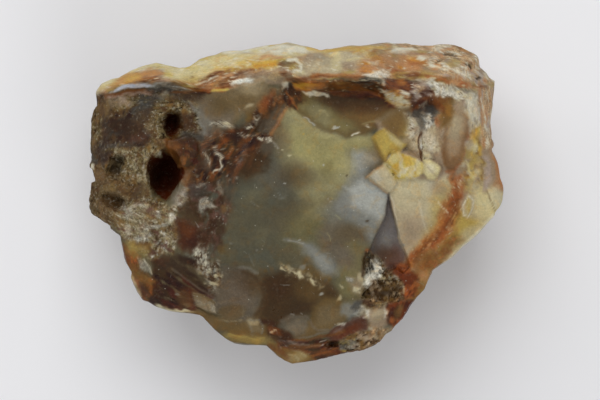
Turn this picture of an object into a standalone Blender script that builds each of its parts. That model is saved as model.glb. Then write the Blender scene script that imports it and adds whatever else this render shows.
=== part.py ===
"""Rough limnosilicite: a broken lump of freshwater chalcedony, lying on its flat back.

Run it with blender --background --python part.py. The frame is in metres with +Z up.
The glassy broken face looks up, +X runs along the lump's length, and +Y points to its
thick rim. The origin is under the middle of the lump, on the plane that it rests on.
The lump is one solid. Its surface is a function of two parameters: a turn round the
vertical axis, and a run from the middle of the broken face over the edge to the middle
of the back. The shape's own numbers are in millimetres, as (x, y) seen from above.
"""

import bmesh
import bpy
import numpy as np

MM = 0.001

LENGTH = 83.0
WIDTH = 64.4
THICKNESS = 35.8

CUBE_CUTS = 27
FACE_SHARE = 0.60
EDGE_SHARE = 0.20

EDGE_INSET = 0.03
EDGE_DENTS = 0.035
DENT_SIZE = 11.0
LEAST_EDGE = 2.5

FACE_LEVEL = 31.0
FACE_LEAN_X = -0.03
FACE_LEAN_Y = 0.05
CREST_BACK = 1.6
RIM_STEP = 2.6
MILD_SLOPE = 0.9
STEEP_SLOPE = 2.6

ROUGH_SIZE = 7.0
ROUGH_DEPTH = 0.45

OUTLINE = [
    (-40.0, 22.2), (-38.8, 23.8), (-35.2, 24.9), (-31.2, 27.0), (-28.0, 28.2), (-25.2, 27.4),
    (-21.2, 26.9), (-19.2, 28.7), (-14.8, 30.0), (-7.2, 31.2), (-1.8, 32.2), (2.8, 31.0),
    (4.8, 30.6), (14.8, 31.8), (22.4, 32.1), (27.0, 31.4), (29.8, 31.8), (34.4, 30.5),
    (36.4, 28.6), (36.3, 27.1), (38.6, 24.8), (39.6, 24.4), (38.9, 21.6), (38.6, 16.2),
    (39.4, 11.6), (38.8, 10.6), (40.2, 7.6), (40.6, 5.0), (41.5, 2.8), (41.5, 0.3),
    (39.7, -1.8), (39.6, -2.6), (32.8, -8.6), (27.4, -13.6), (25.6, -17.4), (22.6, -20.4),
    (21.2, -23.4), (16.8, -27.4), (13.8, -29.1), (6.8, -30.8), (-0.8, -32.2), (-3.6, -30.6),
    (-6.0, -28.6), (-12.4, -28.0), (-15.2, -25.9), (-18.4, -22.6), (-24.2, -21.6),
    (-28.0, -20.4), (-30.4, -19.2), (-33.0, -14.6), (-34.4, -10.0), (-35.2, -6.4),
    (-38.8, -3.4), (-40.8, -2.2), (-41.5, 0.4), (-41.0, 4.0), (-40.3, 5.0), (-41.1, 7.6),
    (-40.7, 9.6), (-41.1, 10.6), (-40.6, 18.0), (-39.8, 19.6),
]

# The foot of the rim's step, its crest, and the line where its top starts to fall steeply.
RIM_X = [-41.0, -37.0, -33.0, -28.0, -24.0, -20.0, -14.0, -11.0, -8.0, -5.0, -2.0, 0.0,
         2.0, 6.0, 10.0, 15.0, 17.0, 19.0, 22.0, 24.0, 28.0, 32.0, 36.0, 39.0]
RIM_FOOT = [20.8, 21.8, 22.5, 23.1, 22.3, 22.0, 22.0, 22.6, 23.8, 24.4, 24.2, 23.4,
            22.4, 22.3, 22.5, 22.4, 21.4, 20.2, 19.8, 21.0, 21.9, 22.1, 21.8, 22.0]
CREST_X = [-41.0, -36.0, -30.0, -20.0, -6.0, 8.0, 19.0, 25.0, 30.0, 37.0, 40.0]
CREST_LEVEL = [25.0, 28.6, 30.8, 32.0, 33.6, 35.2, 34.8, 32.6, 31.8, 29.8, 28.2]
BREAK_X = [-41.0, -22.0, -14.0, -9.0, -2.0, 5.0, 12.0, 20.0, 27.0, 34.0, 40.0]
BREAK_LINE = [22.2, 24.4, 26.4, 27.4, 28.7, 29.9, 30.2, 29.8, 28.4, 26.2, 23.6]

# Slopes that fall to the edge: direction out, distance of the first fall, fall for each mm.
FACE_SLOPES = [
    ((-1.0, 0.05), 35.0, 1.1),
    ((-0.65, -0.76), 28.2, 0.95),
    ((-0.10, -1.0), 24.0, 0.75),
    ((0.55, -0.84), 27.5, 1.05),
    ((0.75, -0.66), 8.2, 0.22),
    ((0.78, -0.62), 30.2, 1.6),
    ((0.99, -0.10), 36.0, 1.5),
    ((0.97, 0.25), 38.6, 1.9),
]
BACK_SLOPES = [
    ((1.0, 0.0), 22.0, 0.72),
    ((0.94, 0.34), 38.5, 2.2),
    ((0.57, 0.82), 24.5, 0.56),
    ((0.17, 0.98), 15.5, 0.74),
    ((-0.34, 0.94), 30.8, 2.6),
    ((-0.87, 0.50), 25.5, 0.80),
    ((-0.98, -0.17), 22.5, 0.85),
    ((-0.94, 0.34), 39.5, 2.4),
    ((-0.57, -0.82), 16.5, 0.95),
    ((-0.82, -0.57), 31.5, 2.0),
    ((0.09, -1.0), 16.0, 1.02),
    ((0.77, -0.64), 15.0, 0.88),
    ((0.50, -0.87), 28.6, 2.2),
]

# Scooped scars: middle, lowest level, and the radius of curvature along x and y.
SCOOPS = [
    ((10.0, 21.3), 28.0, (26.0, 7.6)),
    ((-4.0, -20.0), 28.6, (60.0, 42.0)),
    ((2.2, -24.6), 27.4, (14.0, 9.0)),
    ((-20.0, -8.0), 29.0, (40.0, 60.0)),
    ((-33.0, 13.0), 27.4, (30.0, 60.0)),
    ((-24.5, -16.8), 27.0, (26.0, 12.0)),
]

# Flakes, ledges and hollows: outline, rise inside it, lean along x and y, width of the step.
STEPS = {
    "left_flank": (
        [(-45, 30), (-19, 23), (-13, 18), (-10, 12), (-13, 4), (-15, -3), (-16, -12),
         (-17, -24), (-45, -24)],
        -1.2, (0.0, 0.0), 3.0),
    "yellow_flakes": (
        [(14.4, 5.4), (17.2, 8.0), (15.6, 13.2), (18.4, 14.8), (22.2, 11.4), (27.6, 8.6),
         (28.4, 5.4), (24.4, 4.6), (19.0, 2.4)],
        1.3, (0.0, 0.06), 2.4),
    "plum_recess": (
        [(18.3, 2.2), (19.2, -2.0), (20.4, -7.0), (22.4, -13.0), (16.0, -13.0),
         (14.3, -10.4), (16.7, -5.0), (18.1, -1.0)],
        -1.9, (0.14, 0.0), 2.6),
    "lobe": (
        [(30.4, 20.0), (33.4, 20.0), (34.6, 17.0), (34.4, 12.0), (33.2, 8.0), (31.4, 6.3),
         (29.7, 7.4), (29.1, 10.0), (29.6, 14.0)],
        1.2, (0.0, 0.0), 2.4),
    "foot_ledge": (
        [(-3.2, -27.6), (2.0, -27.4), (6.2, -26.4), (9.2, -24.2), (11.2, -22.8),
         (14.0, -23.6), (19.0, -22.4), (30.0, -30.0), (-4.0, -40.0)],
        -1.5, (0.0, 0.0), 2.2),
}

# Hollows and pits: middle, half length and half width, turn of the length in degrees, depth.
HOLLOWS = {
    "upper_hollow": ((-24.6, 15.8), (3.4, 2.6), 80.0, 5.0),
    "great_hollow": ((-26.0, 5.6), (6.6, 4.6), 70.0, 9.0),
    "knob_hollow": ((-36.2, 0.0), (4.2, 2.4), -20.0, 2.6),
    "knob_cleft": ((-35.8, 6.6), (3.4, 2.4), 70.0, 2.6),
    "upper_crust_pit": ((25.8, 17.6), (4.4, 3.2), 20.0, 2.6),
    "lower_crust_pit": ((16.8, -18.2), (5.2, 3.0), -10.0, 2.8),
    "crust_slit": ((14.0, -12.4), (3.4, 1.8), -75.0, 1.6),
}


def smooth_step(value):
    """0 below 0 and 1 above 1, with the curve 3v^2 - 2v^3 between."""
    value = np.clip(value, 0.0, 1.0)
    return value * value * (3.0 - 2.0 * value)


def soft_min(first, second, width):
    """The lower of two heights, with the corner between them rounded over width."""
    share = np.clip(0.5 + 0.5 * (second - first) / width, 0.0, 1.0)
    return second + (first - second) * share - width * share * (1.0 - share)


def inside_distance(outline, x, y):
    """Distance from each point to a closed outline, above 0 inside it and below 0 outside."""
    corners = np.array(outline, float)
    nearest = np.full(x.shape, np.inf)
    inside = np.zeros(x.shape, bool)
    for (ax, ay), (bx, by) in zip(corners, np.roll(corners, -1, axis=0)):
        run_x, run_y = bx - ax, by - ay
        share = ((x - ax) * run_x + (y - ay) * run_y) / (run_x**2 + run_y**2)
        share = np.clip(share, 0.0, 1.0)
        nearest = np.minimum(nearest, np.hypot(x - ax - share * run_x, y - ay - share * run_y))
        if ay != by:
            crosses = ((ay > y) != (by > y)) & (x < ax + (y - ay) * run_x / run_y)
            inside ^= crosses
    return np.where(inside, nearest, -nearest)


def lattice_noise(points, size, seed):
    """Smooth random values from -1 to 1: random numbers on a lattice of this size, blended."""
    cell = points / size
    low = np.floor(cell).astype(np.int64)
    share = smooth_step(cell - low)
    total = np.zeros(len(points))
    for corner in np.ndindex(2, 2, 2):
        key = (low + corner) @ np.array([73856093, 19349663, 83492791]) + seed * 15485863
        key = (key ^ (key >> 13)) * 1274126177
        value = ((key ^ (key >> 16)) & 0xFFFF) / 32767.5 - 1.0
        total += value * np.prod(np.where(corner, share, 1.0 - share), axis=1)
    return total


def equal_area(share, cap):
    """How far out on a disc a ring lies, so that the ball's cap covers the disc evenly."""
    return np.sin(share * cap * np.pi / 2.0) / np.sin(cap * np.pi / 2.0)


def edge_radius(turn):
    """Distance from the axis to the outline at each angle, straight between its points."""
    points = np.array(OUTLINE)
    angles = np.arctan2(points[:, 1], points[:, 0])
    order = np.argsort(angles)
    return np.interp(turn, angles[order], np.hypot(*points.T)[order], period=2.0 * np.pi)


def face_height(x, y):
    """Level of the broken face: a leaning plane, cut by slopes and scoops, stepped and pitted."""
    level = FACE_LEVEL + FACE_LEAN_X * x + FACE_LEAN_Y * y
    for (out_x, out_y), start, fall in FACE_SLOPES:
        slope = FACE_LEVEL - fall * (x * out_x + y * out_y - start)
        level = soft_min(level, slope, 1.2)
    for (mid_x, mid_y), lowest, (curve_x, curve_y) in SCOOPS:
        bowl = lowest + (x - mid_x) ** 2 / (2 * curve_x) + (y - mid_y) ** 2 / (2 * curve_y)
        level = soft_min(level, bowl, 0.5)
    for outline, rise, (lean_x, lean_y), width in STEPS.values():
        mid_x, mid_y = np.mean(outline, axis=0)
        share = smooth_step(inside_distance(outline, x, y) / width + 0.5)
        level = level + share * (rise + lean_x * (x - mid_x) + lean_y * (y - mid_y))
    for (mid_x, mid_y), (half_length, half_width), turn, depth in HOLLOWS.values():
        cosine, sine = np.cos(np.radians(turn)), np.sin(np.radians(turn))
        along = (cosine * (x - mid_x) + sine * (y - mid_y)) / half_length
        across = (cosine * (y - mid_y) - sine * (x - mid_x)) / half_width
        level = level - depth * np.clip(1.0 - along**2 - across**2, 0.0, 1.0) ** 1.5
    return level


def rim_height(x, y):
    """Level of the rim's top: a mild slope from its crest, then a steep one to the edge."""
    foot = np.interp(x, RIM_X, RIM_FOOT)
    crest = np.interp(x, CREST_X, CREST_LEVEL)
    crest_line = foot + CREST_BACK
    steep_start = np.maximum(np.interp(x, BREAK_X, BREAK_LINE), crest_line)
    mild = crest - MILD_SLOPE * np.maximum(y - crest_line, 0.0)
    steep = crest - MILD_SLOPE * (steep_start - crest_line) - STEEP_SLOPE * (y - steep_start)
    return soft_min(mild, steep, 0.8)


def top_height(x, y):
    """The broken face, with the rim standing over it behind a steep step."""
    foot = np.interp(x, RIM_X, RIM_FOOT)
    share = smooth_step((y - foot) / RIM_STEP + 0.2)
    level = face_height(x, y) * (1.0 - share) + rim_height(x, y) * share
    for (out_x, out_y), start, fall in FACE_SLOPES[-2:] + FACE_SLOPES[:1]:
        slope = FACE_LEVEL - fall * (x * out_x + y * out_y - start)
        level = soft_min(level, slope, 1.2)
    return level


def back_height(x, y):
    """Level of the back: flat where it rests, and rising to the edge in flat breaks."""
    level = np.zeros(x.shape)
    for (out_x, out_y), start, rise in BACK_SLOPES:
        level = np.maximum(level, rise * (x * out_x + y * out_y - start))
    return level


def surface(turn, run):
    """Points of the lump. turn is the angle; run goes from 0, mid face, to 1, mid back."""
    on_face = np.clip(run / FACE_SHARE, 0.0, 1.0)
    on_edge = np.clip((run - FACE_SHARE) / EDGE_SHARE, 0.0, 1.0)
    on_back = np.clip((run - FACE_SHARE - EDGE_SHARE) / (1.0 - FACE_SHARE - EDGE_SHARE), 0.0, 1.0)
    reach = np.where(run <= FACE_SHARE, equal_area(on_face, FACE_SHARE), 1.0)
    reach = np.where(on_back > 0.0, 1.0 - on_back, reach)
    radius = edge_radius(turn)
    rim = np.column_stack([radius * np.cos(turn), radius * np.sin(turn), 30.0 * on_edge])
    dent = 0.5 + 0.5 * lattice_noise(rim, DENT_SIZE, 7)
    away = np.abs(2.0 * on_edge - 1.0)
    radius = radius * reach * (1.0 - (EDGE_INSET + EDGE_DENTS * dent) * away * reach**4)
    x, y = radius * np.cos(turn), radius * np.sin(turn)
    back = back_height(x, y)
    top = np.maximum(top_height(x, y), back + LEAST_EDGE)
    z = np.where(run <= FACE_SHARE, top, top + (back - top) * on_edge)
    return np.column_stack([x, y, z])


def roughened(points):
    """Uneven lumps added outwards from the middle, and none where the back rests."""
    bump = lattice_noise(points, ROUGH_SIZE, 3) + 0.5 * lattice_noise(points, ROUGH_SIZE / 2, 5)
    out = points - np.array([0.0, 0.0, THICKNESS / 2])
    out /= np.maximum(np.linalg.norm(out, axis=1), 1.0)[:, None]
    lifted = smooth_step(points[:, 2] / 3.0)
    return points + out * (ROUGH_DEPTH * bump * lifted)[:, None]


def fitted(points):
    """The same shape, brought to its stated length, width and thickness about its own middle."""
    low, high = points.min(axis=0), points.max(axis=0)
    middle = (low + high) / 2
    middle[2] = low[2]
    return (points - middle) * np.array([LENGTH, WIDTH, THICKNESS]) / (high - low)


def stone_material():
    """Smoky brown chalcedony with a waxy shine."""
    material = bpy.data.materials.new("smoky chalcedony")
    material.use_nodes = True
    shader = material.node_tree.nodes["Principled BSDF"]
    shader.inputs["Base Color"].default_value = (0.16, 0.11, 0.06, 1.0)
    shader.inputs["Roughness"].default_value = 0.35
    shader.inputs["Metallic"].default_value = 0.0
    return material


def ball_points(corners):
    """Points of a cube's even grid moved to a ball round it, at nearly even angles."""
    spread = np.tan(corners * np.pi / 4.0)
    return spread / np.linalg.norm(spread, axis=1)[:, None]


def make_stone(collection):
    """The lump: a finely cut cube whose points are moved to the surface of the stone."""
    mesh = bpy.data.meshes.new("limnosilicite")
    builder = bmesh.new()
    bmesh.ops.create_cube(builder, size=2.0)
    edges = list(builder.edges)
    bmesh.ops.subdivide_edges(builder, edges=edges, cuts=CUBE_CUTS, use_grid_fill=True)
    builder.to_mesh(mesh)
    builder.free()
    corners = np.empty(len(mesh.vertices) * 3)
    mesh.vertices.foreach_get("co", corners)
    ball = ball_points(corners.reshape(-1, 3))
    turn = np.arctan2(ball[:, 1], ball[:, 0])
    run = np.arccos(np.clip(ball[:, 2], -1.0, 1.0)) / np.pi
    points = fitted(roughened(surface(turn, run)))
    mesh.vertices.foreach_set("co", (points * MM).ravel())
    mesh.update()
    mesh.materials.append(stone_material())
    mesh.shade_smooth()
    mesh.set_sharp_from_angle(angle=np.radians(32.0))
    stone = bpy.data.objects.new("limnosilicite", mesh)
    collection.objects.link(stone)
    return stone


def main():
    for old in list(bpy.data.objects):
        bpy.data.objects.remove(old)
    collection = bpy.data.collections.new("rough limnosilicite")
    bpy.context.scene.collection.children.link(collection)
    make_stone(collection)


main()
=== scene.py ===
"""Rough limnosilicite: a broken lump of freshwater chalcedony, lying with its glassy face up.

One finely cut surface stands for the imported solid: the same lump, with the flakes, pits,
crusts and small round bumps that the solid leaves out. The shape's own numbers are in
millimetres, as (x, y) seen from above, with +Y towards the thick rim.
"""

import bpy
import numpy as np
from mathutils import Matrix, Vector


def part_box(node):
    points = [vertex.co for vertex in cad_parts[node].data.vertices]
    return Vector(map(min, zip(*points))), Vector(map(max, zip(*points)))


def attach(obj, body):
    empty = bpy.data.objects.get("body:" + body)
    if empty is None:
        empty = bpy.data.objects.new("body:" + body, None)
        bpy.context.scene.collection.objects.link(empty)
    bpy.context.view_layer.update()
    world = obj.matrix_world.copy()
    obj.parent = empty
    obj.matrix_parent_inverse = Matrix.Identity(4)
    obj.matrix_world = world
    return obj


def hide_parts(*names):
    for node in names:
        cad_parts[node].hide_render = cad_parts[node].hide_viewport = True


bl_info = {
    "name": "Rough limnosilicite",
    "version": (1, 0, 0),
    "blender": (4, 5, 0),
    "location": "3D View > Sidebar > Stone",
    "description": "Makes a lump of rough limnosilicite and a plain studio round it",
    "category": "Add Mesh",
}

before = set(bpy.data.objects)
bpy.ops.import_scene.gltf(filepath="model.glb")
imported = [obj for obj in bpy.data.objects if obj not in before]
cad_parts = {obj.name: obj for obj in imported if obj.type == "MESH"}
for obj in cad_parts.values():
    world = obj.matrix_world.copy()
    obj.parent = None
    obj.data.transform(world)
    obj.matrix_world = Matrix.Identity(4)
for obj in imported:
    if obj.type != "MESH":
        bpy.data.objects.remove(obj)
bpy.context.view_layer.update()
NODE = "limnosilicite"
MM = 0.001

# How the way from mid face to mid back is shared out: face, edge, and the rest for the back.
FACE_SHARE = 0.64
EDGE_SHARE = 0.17

# How far the edge draws in above and below its widest place, and the dents in it.
EDGE_INSET = 0.025
EDGE_DENTS = 0.034
DENT_SIZE = 11.0
WIDEST_AT = 0.12
LEAST_EDGE = 2.5

# The broken face's level and lean, then the rim: how far behind its foot the crest lies, how
# wide its step is, and its two slopes.
FACE_LEVEL = 31.0
FACE_LEAN_X = -0.03
FACE_LEAN_Y = 0.05
CREST_BACK = 1.6
RIM_STEP = 2.4
RIM_STEP_SHIFT = 0.2
MILD_SLOPE = 0.9
STEEP_SLOPE = 2.6

# Broad unevenness of the whole lump.
ROUGH_SIZE = 7.0
ROUGH_DEPTH = 0.45

# Height of the edge, only for its dents' noise.
EDGE_HEIGHT = 30.0

# How wide the corners are rounded between slopes, scoops and the two slopes of the rim.
SLOPE_ROUNDING = 1.2
SCOOP_ROUNDING = 0.3
BREAK_ROUNDING = 0.8

# Where the face's paint gives way to that of the sides, and theirs to the back's, as shares of
# the edge, with the noise that frays the line between them.
FACE_PAINT_END = 0.95
FACE_FADE_START = 0.13
FACE_FADE = 0.12
FACE_FADE_STRAY = 0.14
BACK_FADE = 0.03
SIDE_STRAY_DEGREES = 14.0
SIDE_STRAY_SIZE = 9.0
STRAY_SIZE = 2.6
FINE_STRAY_SIZE = 0.7
STRAY_REACH = 1.4

# Sizes of the fine relief, and the heights over the floor below which it fades out.
GRAIN_SIZE = 1.1
BUMP_SIZE = 1.5
RIPPLE_SIZE = 3.2
RELIEF_FADE = 1.5
ROUGH_FADE = 3.0

# How steep a hollow's wall is, and how far the round bumps stray and reach in their lattice.
HOLLOW_CURVE = 1.5
BALL_JITTER = 0.35
BALL_REACH = 0.42

# First seed of each kind of noise, and the steps from one patch or side to the next.
DENT_SEED = 7
ROUGH_SEEDS = (3, 5)
STRAY_SEEDS = (11, 17)
FACE_SEED, FACE_SEED_STEP = 31, 17
SIDE_SEED, SIDE_SEED_STEP = 71, 20
SIDE_STRAY_SEED, FADE_SEED, BACK_SEED = 61, 91, 301
GRAIN_SEED, BUMP_SEED, RIPPLE_SEED = 401, 411, 421


def pairs(*numbers):
    """The points of a row of numbers x, y, x, y and so on."""
    return list(zip(numbers[::2], numbers[1::2]))


OUTLINE = pairs(-40, 22.2, -38.8, 23.8, -36.8, 24.6, -35.2, 24.9, -33.2, 26, -31.2, 27, -29.6, 27.6,
    -28, 28.1, -25.2, 27.4, -23.2, 26.8, -21.8, 26.9, -21, 27.2, -20.2, 28, -19.2, 28.7, -16.2, 29.4,
    -14.8, 30, -11.2, 30.4, -7.2, 31.2, -3.2, 31.9, -1.8, 32.2, 0.8, 31.5, 2.8, 31, 4.8, 30.6, 6.8, 30.9,
    12.8, 31.6, 18.8, 32, 22.4, 32.1, 24.8, 31.6, 27, 31.4, 27.6, 31.8, 29.8, 31.8, 32.8, 31.2,
    34.4, 30.5, 36, 29.6, 36.4, 28.8, 36.3, 27.1, 36.8, 26.8, 37.8, 26, 38.6, 24.8, 39.5, 24.6,
    39.6, 23.6, 38.9, 20.6, 38.6, 16.2, 38.9, 13, 39.4, 11.6, 38.8, 10.6, 40, 8, 40.6, 5, 41.3, 3.4,
    41.5, 2.2, 41.4, 0.4, 40.8, -0.6, 39.7, -1.8, 39.6, -2.6, 38.4, -3.8, 34.8, -7.1, 32.8, -8.6,
    29.6, -11.8, 27.4, -13.6, 26.4, -15.6, 25.6, -17.4, 24, -18.8, 22.6, -20.4, 21.4, -22.8, 19.8, -24.6,
    19, -25.6, 17.8, -26.2, 16.8, -27.4, 15.2, -28.4, 13.8, -29, 10.8, -29.8, 6.8, -30.8, 2.8, -31.6,
    -0.8, -32.3, -2.2, -31.6, -4.6, -29.6, -6, -28.6, -9.2, -28.4, -12.4, -28, -13.6, -27.4, -15.2, -26,
    -18.4, -22.6, -19.2, -22.2, -21.2, -21.9, -24.2, -21.6, -26.2, -21, -28, -20.4, -29.2, -19.6,
    -30.4, -19.2, -31.6, -17.6, -33, -14.8, -32.6, -13.8, -33.8, -11.8, -34.4, -10, -35.2, -6.4,
    -36.4, -5.6, -37.6, -4.1, -38.8, -3.4, -39.8, -2.8, -40.8, -2.3, -41.2, -1.2, -41.5, 0.4, -41, 4,
    -40.2, 4.5, -40.7, 6.4, -41.2, 7.4, -40.7, 9.6, -41.1, 10.6, -41, 13.2, -40.9, 16.6, -40.4, 19,
    -39.8, 19.6, -39.9, 20.6)

# The foot of the rim's step, its crest, and the line where its top starts to fall steeply.
RIM_X = [-41, -37, -33, -28, -24, -20, -14, -11, -8, -5, -2, 0,
         2, 6, 10, 15, 17, 19, 22, 24, 28, 32, 36, 39]
RIM_FOOT = [20.8, 21.8, 22.5, 23.1, 22.3, 22, 22, 22.6, 23.8, 24.4, 24.2, 23.4,
            22.4, 22.3, 22.5, 22.4, 21.4, 20.2, 19.8, 21, 21.9, 22.1, 21.8, 22]
CREST_X = [-41, -36, -30, -20, -6, 8, 19, 25, 30, 37, 40]
CREST_LEVEL = [25, 28.6, 30.8, 32, 33.6, 35.2, 34.8, 32.6, 31.8, 29.8, 28.2]
BREAK_X = [-41, -22, -14, -9, -2, 5, 12, 20, 27, 34, 40]
BREAK_LINE = [22.2, 24.4, 26.4, 27.4, 28.7, 29.9, 30.2, 29.8, 28.4, 26.2, 23.6]

# Slopes that fall to the edge: direction out, distance of the first fall, fall for each mm.
FACE_SLOPES = [
    ((-1, 0.05), 35, 1.1),
    ((-0.65, -0.76), 28.2, 0.95),
    ((-0.10, -1), 24, 0.75),
    ((0.55, -0.84), 27.5, 1.05),
    ((0.75, -0.66), 8.2, 0.22),
    ((0.78, -0.62), 30.2, 1.6),
    ((0.99, -0.10), 36, 1.5),
    ((0.97, 0.25), 38.6, 1.9),
]
RIM_SLOPES = [FACE_SLOPES[0], FACE_SLOPES[6], FACE_SLOPES[7]]
BACK_SLOPES = [
    ((1, 0), 22, 0.72),
    ((0.94, 0.34), 38.5, 2.2),
    ((0.57, 0.82), 24.5, 0.56),
    ((0.17, 0.98), 15.5, 0.74),
    ((-0.34, 0.94), 30.8, 2.6),
    ((-0.87, 0.50), 25.5, 0.80),
    ((-0.98, -0.17), 22.5, 0.85),
    ((-0.94, 0.34), 39.5, 2.4),
    ((-0.57, -0.82), 16.5, 0.95),
    ((-0.82, -0.57), 31.5, 2),
    ((0.09, -1), 16, 1.02),
    ((0.77, -0.64), 15, 0.88),
    ((0.50, -0.87), 28.6, 2.2),
]

# Scooped scars: middle, lowest level, and the radius of curvature along x and y.
SCOOPS = [
    ((9.5, 26.5), 28.7, (33, 33)),
    ((-4, -20), 28.6, (60, 42)),
    ((2.2, -24.6), 27.4, (14, 9)),
    ((-20, -8), 29, (40, 60)),
    ((-33, 13), 27.4, (30, 60)),
    ((-24.5, -16.8), 27, (26, 12)),
    ((-13.4, -19.2), 28.2, (22, 22)),
]

# Flakes, ledges and steps: outline, rise inside it, lean along x and y, width of the step.
STEPS = {
    "left_flank": ((-45, 30, -19, 23, -13, 18, -10, 12, -13, 4, -15, -3, -16, -12, -17, -24, -45, -24),
        -1.2, (0, 0), 3),
    "yellow_flake": ((15, 13, 17.4, 14.8, 20.9, 12.2, 22.6, 12.2, 21, 10.2, 18.4, 9.6, 17.6, 7.8), 1,
        (-0.06, 0.1), 0.5),
    "grey_flake": ((14.1, 5.3, 17.5, 7.6, 18.4, 6.6, 20.2, 4, 19.2, 2.4, 18.2, 2, 15.6, 3.9), 1,
        (-0.1, 0.06), 0.4),
    "honey_flake": ((17.8, 7.9, 18.6, 9.4, 19.4, 10.1, 22, 10.2, 25, 8.6, 25.3, 6.6, 24.4, 5, 20.6, 4.7,
        18.6, 6.4), 1.4, (0.03, 0.12), 0.5),
    "honey_facet": ((17.9, 7.9, 18.8, 9.5, 20.6, 9.9, 21.4, 8.4, 20.8, 6.4, 19.4, 6.2), 0.35,
        (-0.18, 0.1), 0.3),
    "cream_flake": ((25.2, 8.5, 26.3, 8.8, 28.9, 7.2, 28.2, 5.4, 27.5, 4.5, 25.9, 4.6, 25.1, 6), 0.9,
        (0.02, 0.1), 0.4),
    "cream_flake_low": ((24.6, 10.4, 26.6, 10.2, 27.4, 8.8, 25.3, 8.8), 0.6, (0, 0.08), 0.4),
    "plum_recess": ((18.3, 2.2, 18.9, -0.5, 19.7, -3.5, 20.4, -7, 21.7, -10.4, 22.5, -12.6, 21.2, -13.8,
        19.8, -12.9, 18.4, -13.6, 16.2, -12.3, 14.3, -10.4, 15.5, -7.6, 16.7, -5, 17.8, -2.4, 18.1, 0.2),
        -1.7, (0.14, 0), 0.4),
    "lobe": ((30.4, 20, 33.4, 20, 34.6, 17, 34.4, 12, 33.2, 8, 31.4, 6.3, 29.7, 7.4, 29.1, 10, 29.6, 14),
        1.2, (0, 0), 2),
    "amber_lip": ((-25.9, 12.8, -23.8, 13.2, -21.6, 13.8, -19.6, 12.2, -19.4, 9.6, -20.8, 7.4, -21.9, 6.9,
        -23.6, 6.9, -24.4, 8.2, -25.6, 10.2), 1.1, (-0.06, 0.02), 0.6),
    "almond": ((34.6, 1.5, 35.5, 0.6, 35.2, -1, 34.3, -2.8, 33.4, -2.5, 33.3, -0.5), 0.35, (0, 0), 0.5),
    "corner_flake": ((-20.6, -18.2, -18.6, -18.4, -16, -19.8, -15.6, -22, -17, -21.7, -19.6, -20.6), 0.7,
        (0.1, -0.04), 0.4),
    "edge_flake": ((-31.5, -11, -30, -11.4, -28.6, -14.3, -31.2, -13), 0.6, (0.05, 0.05), 0.4),
    "foot_ledge": ((-3.2, -27.6, 2, -27.4, 6.2, -26.4, 9.2, -24.2, 11.2, -22.8, 14, -23.6, 19, -22.4,
        30, -30, -4, -40), -1.5, (0, 0), 1),
    "pale_chip": ((-19.4, 0.6, -18, 1.1, -17, 0.2, -18.2, -1.2, -19.6, -1.8), 0.5, (0, 0), 0.5),
    "slate_facet": ((-3.2, 19.4, -1.9, 19.9, -3.8, 15.6, -5.2, 13.6, -8.2, 14, -6.6, 17), -0.5, (0.08, 0),
        0.5),
}

# Hollows and pits: middle, half length and half width, turn of the length in degrees, depth.
HOLLOWS = {
    "upper_hollow": ((-24.6, 15.8), (3, 2), 80, 6),
    "great_hollow": ((-26.2, 6.2), (5, 3.6), 75, 9.5),
    "great_hollow_foot": ((-26.2, 3.2), (3.4, 2.8), 60, 4),
    "knob_hollow": ((-36.2, 0.4), (3.4, 1.6), -25, 3),
    "knob_cleft": ((-36.4, 6.8), (2.8, 1.8), 70, 3),
    "knob_slit": ((-35.2, 9), (1.6, 0.8), -30, 2),
    "upper_crust_pit": ((25.6, 18.6), (3.2, 2), 10, 1.7),
    "chalk_crack": ((24.6, 12.2), (2.6, 0.5), 90, 0.8),
    "lower_crust_pit": ((17.4, -17.8), (4.4, 2.2), -8, 2.4),
    "black_pit": ((14, -18.4), (1.4, 1.2), 0, 2.2),
    "crust_slit": ((14, -12.2), (2.8, 1), -80, 1.8),
    "foot_pit": ((7.2, -28.1), (1.8, 0.7), 8, 1.6),
    "moss_pit": ((10.4, -28.2), (1.8, 1), 10, 1.2),
    "rim_slit": ((31.2, 29.7), (1.1, 0.35), -8, 1.2),
    "rim_slit_low": ((34.4, 27.5), (0.9, 0.5), -20, 1),
    "rim_hole": ((36.4, 25), (0.6, 0.5), 0, 0.8),
}

# Light that the shine adds all over, taken off the colours, which are as the eye sees them,
# and the least share of a colour's own light that is left.
SHINE_HAZE = 0.008
LEAST_LIGHT = 0.3

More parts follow.
